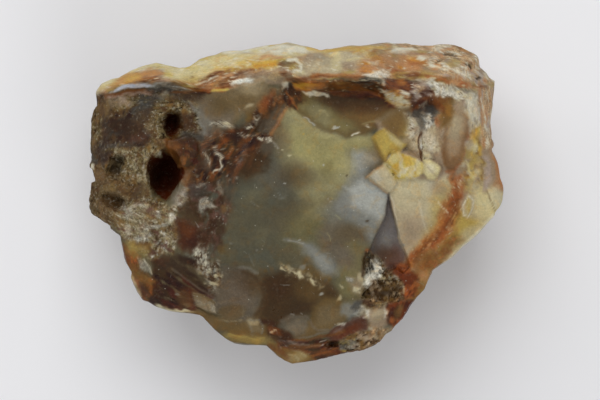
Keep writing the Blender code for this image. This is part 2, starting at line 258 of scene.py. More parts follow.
# What each finish of the stone is: colour, roughness and share of fine grain.
FINISHES = {
    "smoke": ((88, 81, 61), 0.34, 0.03),
    "slate_olive": ((80, 79, 66), 0.34, 0.03),
    "moss": ((148, 140, 94), 0.36, 0.03),
    "pale_moss": ((161, 153, 110), 0.38, 0.04),
    "moss_grey": ((134, 127, 93), 0.36, 0.03),
    "olive_gold": ((114, 105, 68), 0.36, 0.03),
    "smoke_brown": ((90, 78, 57), 0.34, 0.03),
    "tea": ((96, 76, 44), 0.32, 0.03),
    "bronze": ((114, 86, 46), 0.34, 0.05),
    "umber": ((64, 48, 31), 0.3, 0.03),
    "near_black": ((45, 29, 21), 0.28, 0.05),
    # Painted glint: a bluish-white colour that stands for a highlight on the rim's edge.
    "frost": ((202, 204, 212), 0.4, 0.05),
    "milk": ((167, 168, 160), 0.38, 0.03),
    "milk_grey": ((124, 124, 117), 0.38, 0.03),
    "smoke_grey": ((87, 80, 67), 0.34, 0.03),
    "grey_glass": ((105, 95, 82), 0.36, 0.06),
    "olive_glass": ((113, 97, 70), 0.36, 0.05),
    "plum": ((103, 97, 94), 0.36, 0.03),
    "plum_brown": ((90, 62, 50), 0.4, 0.1),
    "slate": ((64, 62, 58), 0.45, 0.25),
    "dark_rust": ((60, 39, 25), 0.38, 0.15),
    "rust": ((106, 60, 30), 0.42, 0.15),
    "red_rust": ((98, 48, 25), 0.42, 0.12),
    "oxblood": ((68, 34, 20), 0.38, 0.1),
    "brick": ((150, 82, 42), 0.45, 0.15),
    "orange": ((170, 106, 52), 0.42, 0.1),
    "amber": ((178, 120, 46), 0.34, 0.06),
    "copper": ((172, 126, 84), 0.42, 0.1),
    "lip": ((114, 72, 36), 0.4, 0.12),
    "gold": ((192, 154, 64), 0.38, 0.08),
    "honey": ((194, 173, 92), 0.32, 0.04),
    "honey_olive": ((166, 142, 74), 0.36, 0.05),
    "straw": ((195, 185, 150), 0.36, 0.05),
    "cream": ((177, 165, 133), 0.38, 0.04),
    "fawn": ((147, 128, 104), 0.38, 0.05),
    "shell": ((208, 203, 181), 0.45, 0.06),
    "olive_cream": ((200, 187, 138), 0.45, 0.08),
    "stone_grey": ((175, 162, 131), 0.42, 0.06),
    "buff": ((178, 158, 122), 0.6, 0.3),
    "lens": ((147, 125, 98), 0.3, 0.03),
    "lens_brown": ((122, 92, 62), 0.3, 0.03),
    "lilac": ((164, 148, 136), 0.45, 0.1),
    "chalk": ((214, 210, 194), 0.88, 0.36),
    "bone": ((148, 143, 129), 0.8, 0.7),
    "tan_crust": ((180, 154, 120), 0.8, 0.8),
    "crust": ((142, 132, 105), 0.82, 0.95),
    "earth": ((105, 92, 65), 0.8, 0.9),
    "druse": ((104, 93, 66), 0.55, 0.8),
    "bark": ((84, 62, 42), 0.55, 0.4),
    "pit": ((50, 38, 26), 0.7, 0.6),
    "void": ((70, 36, 19), 0.62, 0.3),
}


def area(finish, outline, soft=1.4, share=1, wander=0.4):
    """A patch with a closed outline. soft is how wide its edge is."""
    return ("area", finish, pairs(*outline), soft, share, wander)


def band(finish, line, width, wander=0.5, soft=0.4, share=0.6):
    """A streak of this width along a line."""
    return ("band", finish, (pairs(*line), width), soft, share, wander)


def spot(finish, middle, halves, soft=1.4, share=0.7, turn=0, wander=0.5):
    """An oval patch. soft is the part of its half width that its edge takes."""
    return ("spot", finish, (middle, halves, turn), soft, share, wander)


# Finishes that come mixed: the main one, and others over it in blotches, each with the size of
# the blotches, the share that they cover, the angle they run at and how much they stretch.
MIXES = {
    "clouded_smoke": ("smoke", [("slate_olive", 5, 0.4), ("tea", 3, 0.14), ("smoke_brown", 1.2, 0.16)]),
    "rust_streaks": ("dark_rust", [("umber", 1.6, 0.36, 62, 2.4), ("rust", 0.9, 0.26, 62, 3),
        ("near_black", 0.8, 0.26, 60, 2.4), ("lip", 0.45, 0.07, 62, 4), ("bone", 0.35, 0.02, 30, 1.6)]),
    "slate_block": ("slate", [("bark", 1.6, 0.3, 25, 2), ("near_black", 1.2, 0.3, 25, 1.6),
        ("earth", 0.5, 0.12), ("bone", 0.35, 0.02)]),
    "dark_block": ("near_black", [("umber", 1.8, 0.4, 20, 1.8), ("slate", 1.2, 0.14, 20, 1.6),
        ("bark", 0.6, 0.16, 20, 1.6)]),
    "brown_block": ("bark", [("umber", 1.6, 0.34, 60, 1.8), ("earth", 0.6, 0.16),
        ("near_black", 0.9, 0.2, 60, 1.6), ("tea", 1.2, 0.2, 60, 2)]),
    "vug_rim": ("earth", [("bark", 0.9, 0.3), ("crust", 0.6, 0.2), ("bronze", 1.4, 0.14),
        ("pit", 0.5, 0.06)]),
    "pale_rim": ("earth", [("crust", 1, 0.4), ("bark", 0.6, 0.18), ("bone", 0.4, 0.08)]),
    "grapes": ("druse", [("bark", 0.9, 0.24), ("bronze", 1.3, 0.24), ("crust", 0.7, 0.16),
        ("pit", 0.5, 0.06)]),
    "curly_crust": ("crust", [("earth", 2, 0.4, -25, 1.6), ("bark", 0.8, 0.22, -25, 1.8),
        ("bronze", 1.4, 0.14), ("bone", 1, 0.2, -20, 1.8), ("plum_brown", 0.6, 0.1, -20, 1.8),
        ("chalk", 0.5, 0.03, -20, 1.8)]),
    "brown_glass": ("plum_brown", [("dark_rust", 1.6, 0.4, 70, 1.5), ("slate_olive", 1.5, 0.16),
        ("bone", 0.45, 0.03), ("umber", 0.9, 0.2)]),
    "dark_glass": ("near_black", [("umber", 1.8, 0.36, -35, 2.2), ("oxblood", 1.2, 0.2, -35, 2),
        ("smoke_brown", 0.7, 0.05, -35, 3)]),
    "amber_edge": ("bronze", [("lip", 1.4, 0.34), ("rust", 1.4, 0.24), ("brick", 0.9, 0.1)]),
    "feathers": ("bone", [("bark", 0.7, 0.4, 75, 1.5), ("umber", 0.4, 0.2, 40, 1.3),
        ("straw", 0.8, 0.16)]),
    "rim_amber": ("fawn", [("copper", 2.4, 0.3, 12, 2), ("honey_olive", 2.2, 0.3, 12, 2),
        ("rust", 1.2, 0.12, 12, 2.6), ("shell", 0.4, 0.05, 12, 2)]),
    "rim_red": ("rust", [("copper", 1, 0.3, 14, 2.4), ("oxblood", 1.1, 0.24, 14, 2),
        ("shell", 0.35, 0.07, 14, 2)]),
    "rim_cream": ("olive_cream", [("straw", 2, 0.35), ("honey", 1.8, 0.24), ("shell", 1.2, 0.16),
        ("bronze", 0.4, 0.015)]),
    "rim_gold": ("gold", [("olive_cream", 1.2, 0.36), ("amber", 1.2, 0.24), ("shell", 0.5, 0.12)]),
    "rim_milk": ("shell", [("stone_grey", 4, 0.12), ("olive_cream", 2, 0.1)]),
    "rim_grey": ("stone_grey", [("fawn", 5, 0.3), ("olive_cream", 4, 0.14), ("shell", 0.5, 0.03)]),
    "rim_copper": ("copper", [("lens", 3.2, 0.26, -8, 1.8), ("brick", 2.6, 0.12, -8, 2),
        ("amber", 1.4, 0.08, -8, 2.4), ("shell", 0.4, 0.03, -8, 2)]),
    "underside": ("brick", [("bronze", 1.6, 0.4, -20, 2), ("copper", 1.2, 0.26, -20, 2),
        ("straw", 0.4, 0.05, -20, 2)]),
    "lead_grey": ("grey_glass", [("slate", 0.9, 0.35, 8, 2.4), ("milk", 0.6, 0.16, 8, 2.4)]),
    "tan_crumbs": ("tan_crust", [("fawn", 1.6, 0.3), ("shell", 1, 0.22), ("copper", 1.4, 0.2),
        ("bronze", 0.8, 0.05)]),
    "pink_crumbs": ("tan_crust", [("shell", 0.8, 0.3, -28, 2.4), ("copper", 0.9, 0.24, -28, 2.4),
        ("lilac", 1.2, 0.24)]),
    "frosted": ("cream", [("stone_grey", 1.6, 0.3), ("chalk", 0.5, 0.26), ("lilac", 1, 0.2),
        ("grey_glass", 0.8, 0.08)]),
    "burnt": ("umber", [("rust", 1.5, 0.36, 0, 2), ("near_black", 0.8, 0.24, 0, 1.8),
        ("lip", 0.7, 0.2, 0, 2.4), ("slate", 0.5, 0.1), ("straw", 0.35, 0.05)]),
    "red_burnt": ("oxblood", [("rust", 1.1, 0.34, 0, 2), ("near_black", 0.8, 0.2, 0, 1.8),
        ("lip", 0.6, 0.1, 0, 2)]),
    "peach": ("copper", [("rust", 0.9, 0.24, -30, 1.6), ("shell", 0.6, 0.2, -30, 1.6),
        ("amber", 0.8, 0.2)]),
    "plum_lumps": ("plum_brown", [("lilac", 1, 0.3), ("oxblood", 0.9, 0.2), ("shell", 0.4, 0.05)]),
    "sooty_chalk": ("chalk", [("bone", 0.7, 0.36), ("straw", 1.2, 0.26), ("fawn", 0.5, 0.12),
        ("bark", 0.4, 0.03)]),
    "sooty_crust": ("crust", [("bronze", 0.9, 0.24), ("bark", 0.7, 0.34), ("bone", 0.6, 0.14),
        ("pit", 0.5, 0.14)]),
    "lace": ("bone", [("chalk", 0.8, 0.34), ("slate", 0.35, 0.2), ("pit", 0.3, 0.06)]),
    "brick_vein": ("brick", [("orange", 1.4, 0.18, 60, 2), ("rust", 1.1, 0.34, 60, 2),
        ("copper", 0.7, 0.14, 60, 2), ("straw", 0.35, 0.03, 130, 3)]),
    "red_glass": ("red_rust", [("oxblood", 1.4, 0.34, 60, 1.6), ("brick", 1.1, 0.24, 60, 1.8)]),
    "foot_red": ("oxblood", [("rust", 1.2, 0.34, 15, 2.6), ("umber", 1, 0.24, 15, 2),
        ("lip", 0.8, 0.18, 15, 3), ("lilac", 0.4, 0.04, 15, 4)]),
    "flecks": ("shell", [("dark_rust", 0.45, 0.4), ("bone", 0.5, 0.34)]),
    "lip_glass": ("dark_rust", [("lip", 1.6, 0.3), ("oxblood", 1.2, 0.2), ("umber", 0.8, 0.2)]),
    "foot_crumbs": ("bark", [("tan_crust", 0.7, 0.2), ("fawn", 1, 0.24), ("bronze", 1.2, 0.24),
        ("pit", 0.5, 0.08)]),
    "moss_crumbs": ("bone", [("pit", 0.6, 0.26), ("honey_olive", 0.9, 0.24)]),
    "chip_cluster": ("straw", [("smoke_brown", 0.8, 0.6), ("cream", 0.5, 0.14)]),
    "stripes": ("tan_crust", [("lilac", 1.2, 0.3, 84, 3), ("copper", 1, 0.24, 84, 3),
        ("shell", 0.9, 0.2, 84, 3)]),
    "moss_honey": ("honey_olive", [("straw", 1.8, 0.24), ("fawn", 1.3, 0.26, 70, 1.6),
        ("bronze", 0.8, 0.12, 70, 1.6), ("gold", 1, 0.12)]),
    "honey_chips": ("honey", [("gold", 1.4, 0.2, 70, 2), ("straw", 0.8, 0.26, 70, 2.4)]),
    "cortex": ("stone_grey", [("buff", 5, 0.4), ("bronze", 2.2, 0.2), ("shell", 1.2, 0.2),
        ("earth", 0.8, 0.16), ("pit", 0.6, 0.04)]),
    "tan_side": ("tan_crust", [("honey_olive", 6, 0.3), ("fawn", 1.6, 0.3), ("copper", 2.6, 0.2),
        ("brick", 1, 0.06), ("pit", 0.5, 0.03)]),
    "honey_side": ("honey_olive", [("fawn", 5, 0.36), ("tan_crust", 2.4, 0.3), ("bronze", 1.4, 0.16),
        ("copper", 1.8, 0.14), ("crust", 0.8, 0.12)]),
    "red_side": ("red_rust", [("crust", 5, 0.35), ("bronze", 2, 0.25), ("bark", 1.2, 0.25),
        ("pit", 0.8, 0.1)]),
    "umber_side": ("umber", [("rust", 6, 0.3), ("olive_glass", 4, 0.34), ("bronze", 2.4, 0.2),
        ("smoke_grey", 1.4, 0.2), ("crust", 0.8, 0.1)]),
    "rim_side": ("copper", [("stone_grey", 5, 0.45), ("rust", 2, 0.22), ("shell", 1, 0.16)]),
    "back": ("grey_glass", [("smoke_grey", 9, 0.4), ("buff", 7, 0.24), ("olive_glass", 4, 0.2),
        ("rust", 3.2, 0.12), ("crust", 1.6, 0.14), ("bark", 1, 0.08)]),
}

# The colours of the broken face and of the rim, each laid over those before it.
GLASSY_FACE = [
    area("clouded_smoke", (-22, 26, 40, 26, 40, -34, -22, -34), 2),
    spot("slate_olive", (-5.5, 0), (8, 9), 1.2, 0.8),
    spot("slate_olive", (-3.6, 9.4), (3.6, 4), 1),
    spot("moss_grey", (-9.6, 1.4), (2.6, 1.6), 1.4, 0.3, 10, 0.9),
    spot("moss_grey", (-6.8, -6.6), (1.4, 2), 1.4, 0.25, 0, 0.9),
    spot("smoke_brown", (-1.6, -2.6), (4.4, 2.8), 1.4, 0.5, 20, 0.9),
    spot("grey_glass", (-4, 5.4), (4.2, 3.4), 1.4, 0.35, 0, 0.9),
    spot("smoke", (-10.6, -4), (4.2, 6), 1.2, 0.6),
    area("moss_grey", (-3.4, 17, -1, 19.6, 2, 15.6, 7, 12.2, 10, 11, 10.6, 8, 10.2, 5, 8.4, 1.4,
        4.4, -0.6, 1.2, 1.4, -0.6, 5, -2.6, 8), 4.4),
    area("olive_gold", (3.6, 9.8, 6.6, 11, 9.8, 10.6, 10, 6, 8, 3.6, 5.4, 4.4, 3.8, 7), 1.8, 0.35, 0.7),
    band("moss", (2, 10.2, 3.8, 8, 4.8, 5.4), 0.4, 0.4, 0.6, 0.35),
    area("moss", (-1.5, 14.2, 2, 13, 6, 11.6, 9.6, 10.9, 10.5, 9, 10.3, 6.8, 6, 6.2, 2.6, 8.2, -0.6, 9.6),
        3),
    spot("olive_gold", (6.4, 7.4), (1.6, 0.9), 1.2, 0.5, 60),
    spot("olive_gold", (2.4, -4.6), (5, 3.6), 1.4, 0.7, 30),
    spot("moss_grey", (4.6, -1.6), (3.4, 1.6), 1.4, 0.5, 20, 0.9),
    area("grey_glass", (6, -4, 10.4, -3.6, 15.6, -6, 14.4, -8.6, 9, -8.6, 6.4, -9.6, 4.4, -7), 2.6, 0.7,
        0.9),
    spot("smoke_brown", (10.8, -5.8), (3.4, 2.6), 1.3),
    area("milk_grey", (10.5, 10.6, 13.6, 11.4, 16.6, 8.6, 16.6, 7.4, 14, 5.4, 16, 3.8, 18.4, 1.8, 18, -2,
        16.6, -5, 15, -8, 13.6, -5.4, 10.4, -3.4, 8, -1.4, 8.4, 2, 10.2, 4.4), 2.2, 0.9),
    # Partly milky stone, partly painted sheen: a soft bluish-white reflection painted into this glassy
    # patch.
    area("milk", (10.8, 3.2, 13, 4.6, 16, 3.4, 18.4, 1.8, 18, -1.6, 16.8, -4, 14, -1.8, 11, -0.6), 2.8,
        0.85),
    spot("milk", (12.4, 8.4), (1.7, 2.2), 1.3, 0.55, 10),
    spot("buff", (15, 9.6), (1.6, 2.4), 1.2, 0.35, -20),
    spot("umber", (0.2, 5.6), (3.2, 2.2), 1.5, 0.5, -20),
    band("moss_grey", (-3.4, 21, -2, 18, 0, 15), 3, 0.3, 3),
    band("pale_moss", (-2.4, 20.6, -0.4, 18, 2.6, 15.2, 6, 13.1, 10, 12.2, 14, 12.8), 1.9, 0.3, 2.2,
        0.85),
    band("moss", (0, 14.6, 4, 12.6, 8, 11.6, 12, 11.7, 15, 12), 2.4, 0.3, 2.4, 0.7),
    band("olive_gold", (10.6, 10.4, 10.6, 7.5, 10.3, 5.8), 0.6, 0.1, 0.8),
    band("milk", (9.4, 3.4, 11, 2.7, 13.4, 3.2, 15.6, 3), 0.5, 0.3, 0.8, 0.5),
    band("milk_grey", (-2.4, -7.2, -0.4, -7.4, 1.4, -8.2, 3, -9.2), 0.5, 0.3, 0.8),
    area("milk_grey", (0.4, -7.8, 3.4, -8.2, 6.4, -10, 9.4, -12.8, 8.8, -14.4, 5.6, -14.6, 3.6, -12,
        1.6, -9.8), 2.2, 0.85),
    spot("milk", (5.4, -11.4), (2.2, 0.9), 1.4, 0.3, -40),
    area("grey_glass", (6.4, -9, 10.4, -8.6, 13.6, -9, 13.4, -13.6, 11.6, -14.4, 9.4, -14), 2.4, 0.75),
    area("olive_gold", (10, -8.2, 12.4, -7.6, 14.4, -8.6, 14.2, -10.4, 13.4, -13.6, 12, -13), 2.4, 0.6),
    area("umber", (-6.9, -14.4, -3, -13.4, 2, -14.6, 6, -16, 9, -18, 8.6, -20, 5, -19.4, 3.6, -21.6,
        1, -22.4, -1, -24, -4, -25.2, -7.2, -22.4, -6.6, -18), 2.6),
    spot("tea", (3, -17.4), (3.4, 2), 1.4, 0.6, -20),
    spot("dark_rust", (-3.6, -17), (2.6, 2), 1.4, 0.45),
    area("smoke_grey", (-14.6, -12.4, -10.6, -13.2, -7.6, -15, -6.6, -18, -7.2, -21.2, -9.2, -24,
        -13.6, -23.6, -16.4, -20.4, -15.6, -16.4)),
    spot("grey_glass", (-11, -17.8), (3.2, 3.4), 1.5, 0.7, 20),
    spot("tea", (-8.2, -16.4), (1.3, 2.2), 1.4, 0.5, 20),
    band("milk_grey", (-11.2, -12.9, -9.4, -13, -8, -13.9), 0.7, 0.3, 0.7),
    band("umber", (-10.6, -13.7, -8.2, -14.7, -6.8, -16.5, -6.3, -18.6, -6.8, -20.8, -8, -22.4), 0.6, 0.2,
        0.8, 0.7),
    area("smoke_grey", (-3.4, -25.2, -2.8, -23.4, -0.6, -22.4, 1.6, -22.8, 2.6, -24, 2.4, -26, 0, -27.2,
        -1.2, -25.8), 1.4, 0.85, 0.5),
    band("grey_glass", (-2.8, -23.6, -0.8, -22.6, 1.4, -22.7, 2.6, -24), 0.5, 0.3, 0.7),
    area("tea", (3.2, -20.4, 6.5, -18.8, 9.2, -19.8, 10.2, -22.4, 8.3, -24.2, 6, -25.4, 2.4, -26.8,
        1.4, -26.4, 2.4, -24.2)),
    area("olive_glass", (4.2, -21, 7.2, -19.8, 9.4, -21.2, 9.2, -23.2, 6.6, -24.6, 3.6, -25), 2.4, 0.8),
    band("grey_glass", (1.8, -22.4, 2.9, -23.4, 3.3, -24.6, 4.4, -25.4, 6.4, -25.2), 0.4, 0.15, 0.45,
        0.7),
    area("dark_rust", (-7, -22.8, -4.4, -23.6, -3.6, -25, -1.6, -25.6, -0.4, -26.6, -0.1, -27.4,
        -2.4, -28, -5.4, -27.4, -7.2, -25.4), 1),
    spot("rust", (-4.2, -25.6), (1.6, 0.8), 1, 0.8, -30),
    spot("tan_crust", (-4.3, -25.9), (0.4, 0.35), 0.8, 0.8, 0, 0.9),
    spot("tea", (-12.8, -21.8), (2.6, 1.5), 0.6, 0.6),
    area("tea", (-16, -22.8, -10.4, -23.8, -8.8, -24, -6, -24.4, -5.4, -27, -9, -27.4, -13, -26.6,
        -15.6, -24.4), 1.4, 0.9),
    area("bronze", (-13.4, -25.6, -8, -25.4, -5.6, -26.4, -6.4, -28, -13, -27.6), 1.2, 0.7),
    band("olive_glass", (-15.4, -23.4, -12.6, -23.6, -10.6, -23.3), 0.35, 0.3, 0.4, 0.8),
    band("olive_glass", (-15, -19.8, -13.4, -19.5, -11.6, -20.2), 0.4, 0.3, 0.6, 0.5),
    area("olive_glass", (-9.4, -22.8, -7.4, -23.4, -6.6, -25.6, -8.6, -26, -9.6, -24.6), 1.2, 0.9),
    spot("straw", (-8.2, -23.8), (1.2, 0.6), 0.9, 0.4, 10, 0.8),
    band("honey_olive", (-14, -26.6, -11, -27.3, -8, -27.5, -5.4, -27.7), 1.4, 0.3, 1.2, 0.45),
    band("honey", (-13.6, -26.4, -10.8, -26.9, -8.6, -27, -6.4, -26.9), 0.4, 0.6, 0.6, 0.45),
    band("grey_glass", (-15, -19.9, -13.4, -19.5, -11.8, -19.7), 0.4, 0.3, 0.7, 0.7),
    band("crust", (-14.6, -23.4, -12.6, -23.6, -10.9, -23.3, -10.4, -21.6), 0.2, 0.3, 0.35),
    band("milk_grey", (-9.2, -23.4, -7.2, -23.2, -6.6, -24.6, -6.8, -26), 0.3, 0.2, 0.4, 0.5),
    band("milk_grey", (-9, -24.6, -8.6, -26.4), 0.3, 0.2, 0.4, 0.4),
    area("bronze", (-5.6, -27.8, -2.6, -27.8, 0.4, -28.2, 3.4, -29, 4.6, -30.4, 1.6, -33, -1.2, -33.4,
        -5.4, -30), 1),
    spot("honey_olive", (0.6, -30.6), (2.6, 1.3), 1.4, 0.35, 10),
    band("straw", (-0.2, -29.2, 1.6, -29.4, 3.2, -30.2), 0.3, 0.3, 0.4, 0.35),
    band("straw", (-0.6, -29.4, 0.8, -29.8, 2, -30.8), 0.35, 0.3, 0.4, 0.4),
    band("straw", (-1.6, -30.2, -0.2, -30.6, 0.8, -31.6), 0.35, 0.3, 0.4, 0.35),
    band("rust", (-5.2, -28.6, -3, -29.8, -1.6, -31.2), 0.8, 0.3, 0.9, 0.5),
]

FOOT = [
    area("foot_red", (-4, -27.4, 0.4, -27.4, 5, -27.2, 9, -28, 14, -29, 11, -31, 4, -32, 2.6, -30.4,
        0.4, -29.4, -3.4, -28.8), 0.9),
    spot("brick", (6.2, -29.8), (2.4, 0.7), 1.3, 0.4, 10),
    band("lip", (-1, -28.6, 2, -28.9, 4.6, -28.4), 0.8, 0.3, 0.7, 0.8),
    band("lilac", (-1.4, -27.8, 0.4, -28.4, 2.6, -28.4), 0.35, 0.5, 0.4, 0.5),
    area("plum_brown", (6, -26.8, 6.8, -25.2, 9, -24.2, 11.4, -22.8, 13.6, -22.4, 14.3, -23.6,
        14.2, -25.2, 12, -25.8, 9.4, -27, 7.4, -27.8), 0.6),
    spot("red_rust", (10.4, -25.4), (3, 0.8), 1.1, 0.7, 25),
    spot("lilac", (8.4, -25.4), (1.2, 0.5), 1.1, 0.35, 20),
    band("lip", (0, -27.5, 2, -27.4, 4.4, -26.8, 7.6, -26.2, 9.8, -25.4), 0.5, 0.3, 0.5, 0.8),
    band("grey_glass", (0.8, -26.9, 4, -26.2, 6.4, -25.6, 8, -24.4), 0.35, 0.3, 0.35, 0.7),
    area("foot_crumbs", (9.4, -26.6, 12, -25.6, 14.6, -25.2, 16.2, -24.6, 18.6, -25.6, 18, -27.4, 15, -30,
        11, -31, 9.6, -28.6), 0.8, 1, 0.6),
    area("moss_crumbs", (8.8, -27.2, 12, -27, 12.8, -28.6, 10, -29.8, 8.6, -29), 0.8, 0.9, 0.6),
    spot("pit", (6.7, -28), (1.2, 0.4), 1, 0.7, 8, 1.2),
    spot("slate", (9.6, -28), (1, 0.6), 1, 0.7, 30, 0.8),
]

RUST_ZONE = [
    area("rust_streaks", (-20.6, 14, -14, 14.8, -9.6, 16, -7.6, 18.4, -6.6, 21.4, -3, 22, -1.6, 20.2,
        -3, 17, -4.4, 13.6, -5, 11, -6.6, 8, -10, 5, -12.6, 2, -13.6, -2.4, -20.6, -2, -21.6, 3,
        -20.2, 7), 2, 1, 1),
    area("umber", (-11.4, 9, -7.6, 10.4, -5.2, 11.8, -6, 7, -8.6, 4.6, -12, 3.6), 2.6, 0.8, 0.8),
    area("slate_olive", (-14.4, 5, -11, 4.8, -8, 3.6, -11, 0.6, -15, 0, -17, 2), 3, 0.75, 1),
    area("grey_glass", (-19.6, 13, -17, 13.6, -17.4, 10.6, -16.4, 7, -18, 6.4, -20, 9), 1.6, 0.45, 0.8),
    spot("near_black", (-15.6, 9), (0.9, 2.2), 1, 0.7, 10),
    spot("near_black", (-8.4, 11.9), (1.6, 0.8), 0.9, 0.85, 25),
    spot("near_black", (-12.6, 13.2), (1.8, 0.8), 1, 0.7, -10),
    area("smoke_grey", (-3.4, 19.4, -2.1, 19.8, -3.7, 15.8, -5.2, 13.6, -8.2, 14, -6.4, 17), 0.9, 0.8,
        0.3),
    band("umber", (-8.2, 14.2, -6.6, 16.4, -5.4, 18.6), 0.8, 0.3, 0.8, 0.7),
    band("umber", (-4.4, 19, -5.8, 16.4, -6.8, 14.4), 0.5, 0.3, 0.6),
    area("smoke_grey", (-6.8, 12.4, -4.8, 12.8, -4.2, 10.8, -6, 9.6, -7.6, 10.6), 1.6, 0.75),
    spot("olive_glass", (-3, 12.6), (1.6, 3), 1.4, 0.6),
    band("lip", (-7.8, 21, -6.6, 19.4, -6, 17.8), 1.4, 0.6, 1.4, 0.8),
    band("orange", (-7.4, 19.6, -6.8, 18.4), 0.6, 0.5, 0.9, 0.4),
    area("fawn", (-6.2, 22.8, -2.8, 22.6, -2.4, 20.8, -4, 19.6, -5.4, 20.6), 1.4, 0.25, 0.6),
    band("lip", (-4.8, 21.8, -3.8, 20.6, -3, 19.8), 0.8, 0.5, 0.9, 0.5),
    band("orange", (-1.3, 19.8, -2.3, 18.2, -3.1, 16.8, -4, 15.2, -4.9, 13.6), 0.6, 0.2, 0.9),
    band("lip", (-2.4, 20.4, -3.4, 18.6, -4.2, 17), 0.6, 0.2, 0.8),
    band("rust", (-8.6, 11.4, -10, 9, -11.4, 6.6, -12.4, 4.6), 0.5, 0.4, 0.8, 0.5),
    band("rust", (-7, 12.4, -8.6, 9.6, -9.6, 7.6), 0.8, 0.4, 1, 0.35),
    band("lip", (-10.4, 13.2, -11.8, 10.6, -12.6, 8.8), 0.3, 0.4, 0.6, 0.5),
    band("lip", (-13, 15.8, -14.6, 13, -15.4, 11.6), 0.3, 0.4, 0.6, 0.5),
    band("rust", (-17.6, 13.4, -18.4, 11, -19.4, 9), 0.7, 0.4, 0.7, 0.5),
]

LEFT_BLOCK = [
    area("brown_block", (-43, 21, -36, 22.4, -30, 23, -22, 22.4, -18, 22, -18, 12, -28, 10, -43, 10), 1),
    area("olive_glass", (-18.4, 22.4, -13, 23, -8, 24.4, -5, 24, -5.6, 21.6, -7.6, 19.4, -10.6, 17.6,
        -12.4, 15.8, -16, 15.6, -19, 17), 1.6),
    area("grey_glass", (-20, 21, -15.4, 20, -12.4, 17.6, -12.8, 15.6, -17.6, 12.6, -20, 13.6), 2.2, 0.6,
        0.6),
    spot("milk_grey", (-18.6, 17.4), (0.8, 2.8), 1.3, 0.5, 30),
    spot("tea", (-15, 19.4), (2.4, 1.6), 1.4, 0.6, 20),
    spot("tea", (-9.6, 20.6), (2.6, 1.4), 1.3, 0.5, 20),
    spot("stone_grey", (-8.4, 22.6), (2.4, 1.2), 1.3, 0.45, 15),
    area("dark_block", (-39, 17.2, -34, 17, -30, 15.8, -28.2, 13.6, -29, 11.6, -33, 12.2, -38.4, 11.8),
        2.2, 0.95, 0.8),
    area("slate_block", (-31.4, 22.8, -27, 22.8, -24.6, 21.4, -27, 19.4, -29.4, 16.6, -33, 15.4,
        -34.6, 17, -32.8, 19.4), 2, 0.95, 0.8),
    spot("slate", (-29.6, 18.8), (1.6, 3.4), 1, 0.6, -35),
    area("vug_rim", (-38.6, 21.6, -34, 21.8, -31.4, 20.8, -31.6, 19.4, -34.6, 18.4, -37.4, 19), 1, 0.7,
        0.6),
    band("rust", (-38, 21.4, -35, 21.8, -32, 22.2, -29, 22.3), 0.9, 0.5, 0.7, 0.8),
    area("fawn", (-38, 20.9, -35, 21.3, -33, 20.4, -35.4, 19.2, -37.4, 19.6), 1, 0.45, 0.9),
    spot("lilac", (-34.4, 20.4), (1.6, 0.7), 1, 0.4, -10, 0.9),
    band("lilac", (-38, 21.2, -35, 21.5, -32, 21.8, -29, 22), 0.4, 0.6, 0.5),
    band("bone", (-31.4, 22.3, -28.6, 22.4, -26.4, 21.7, -24.4, 21.5), 0.3, 0.7, 0.4, 0.5),
    area("stone_grey", (-27.6, 22, -24, 21.8, -22, 21.4, -24, 20.8, -27, 21), 1, 0.35, 0.9),
    area("slate_block", (-41, 12.4, -36, 12, -30, 12.8, -28.2, 11.6, -31, 10.4, -36, 10.6, -42, 10.2),
        1.2, 0.8, 0.6),
    area("vug_rim", (-28.6, 19.6, -25, 21.6, -20.4, 20.8, -19, 17, -19.4, 13, -24, 14, -26.2, 11.4,
        -28.6, 12.2, -29.6, 16), 1.4, 1, 0.8),
    area("dark_block", (-24.4, 22.4, -18, 22.2, -18.2, 20.6, -22, 20, -25.8, 20.8), 1.2, 0.55, 0.8),
    band("oxblood", (-24.4, 22.4, -21, 22.3, -17, 22), 0.6, 0.2, 0.5, 0.85),
    area("dark_rust", (-22.9, 18.2, -20.6, 17.4, -20, 14.8, -22.2, 14.2, -23, 15.6), 1, 0.75, 0.5),
    band("milk_grey", (-21, 19.8, -19.6, 17.6, -19, 15.4, -18, 13.4), 0.9, 0.7, 1, 0.7),
    spot("crust", (-29.2, 15.4), (0.9, 0.7), 0.4, 0.9, 30),
    area("lip_glass", (-26.1, 12.9, -23.8, 13.3, -21.4, 13.9, -19.4, 12.2, -18.6, 9, -20.2, 6.6,
        -21.9, 6.4, -23.8, 6.8, -24.5, 8.2, -25.6, 10.2), 0.7),
    area("lip", (-26.1, 12.9, -24, 13.1, -22.4, 12, -23.4, 9.6, -23.8, 7.6, -24.6, 8.2, -25.6, 10.2), 1.4,
        0.55, 0.6),
    band("lip", (-25.9, 12.6, -25.2, 10.6, -24.2, 8.4, -23.6, 7.2, -22.2, 6.6), 0.9, 0.3, 0.8, 0.9),
    band("copper", (-25, 10, -24.2, 7.9, -23, 6.9), 0.25, 0.2, 0.35),
    band("slate", (-22.4, 13.9, -20, 13.4, -18.4, 12.4), 1.2, 0.5, 1, 0.7),
    area("vug_rim", (-43, 20.4, -40, 20.6, -38.8, 17, -38.8, 13.4, -40, 11, -43, 11), 1, 0.75, 0.7),
    spot("bronze", (-38.4, 19), (1.4, 1), 0.9, 0.6),
    spot("near_black", (-34.6, 15.2), (2.6, 1.8), 1.2, 0.7, 10, 0.9),
    spot("plum_brown", (-31.6, 13.2), (2.2, 0.8), 1.2, 0.6, 15, 0.9),
    spot("near_black", (-33.6, 10.6), (2.4, 0.7), 1.2, 0.6, 10, 0.9),
]

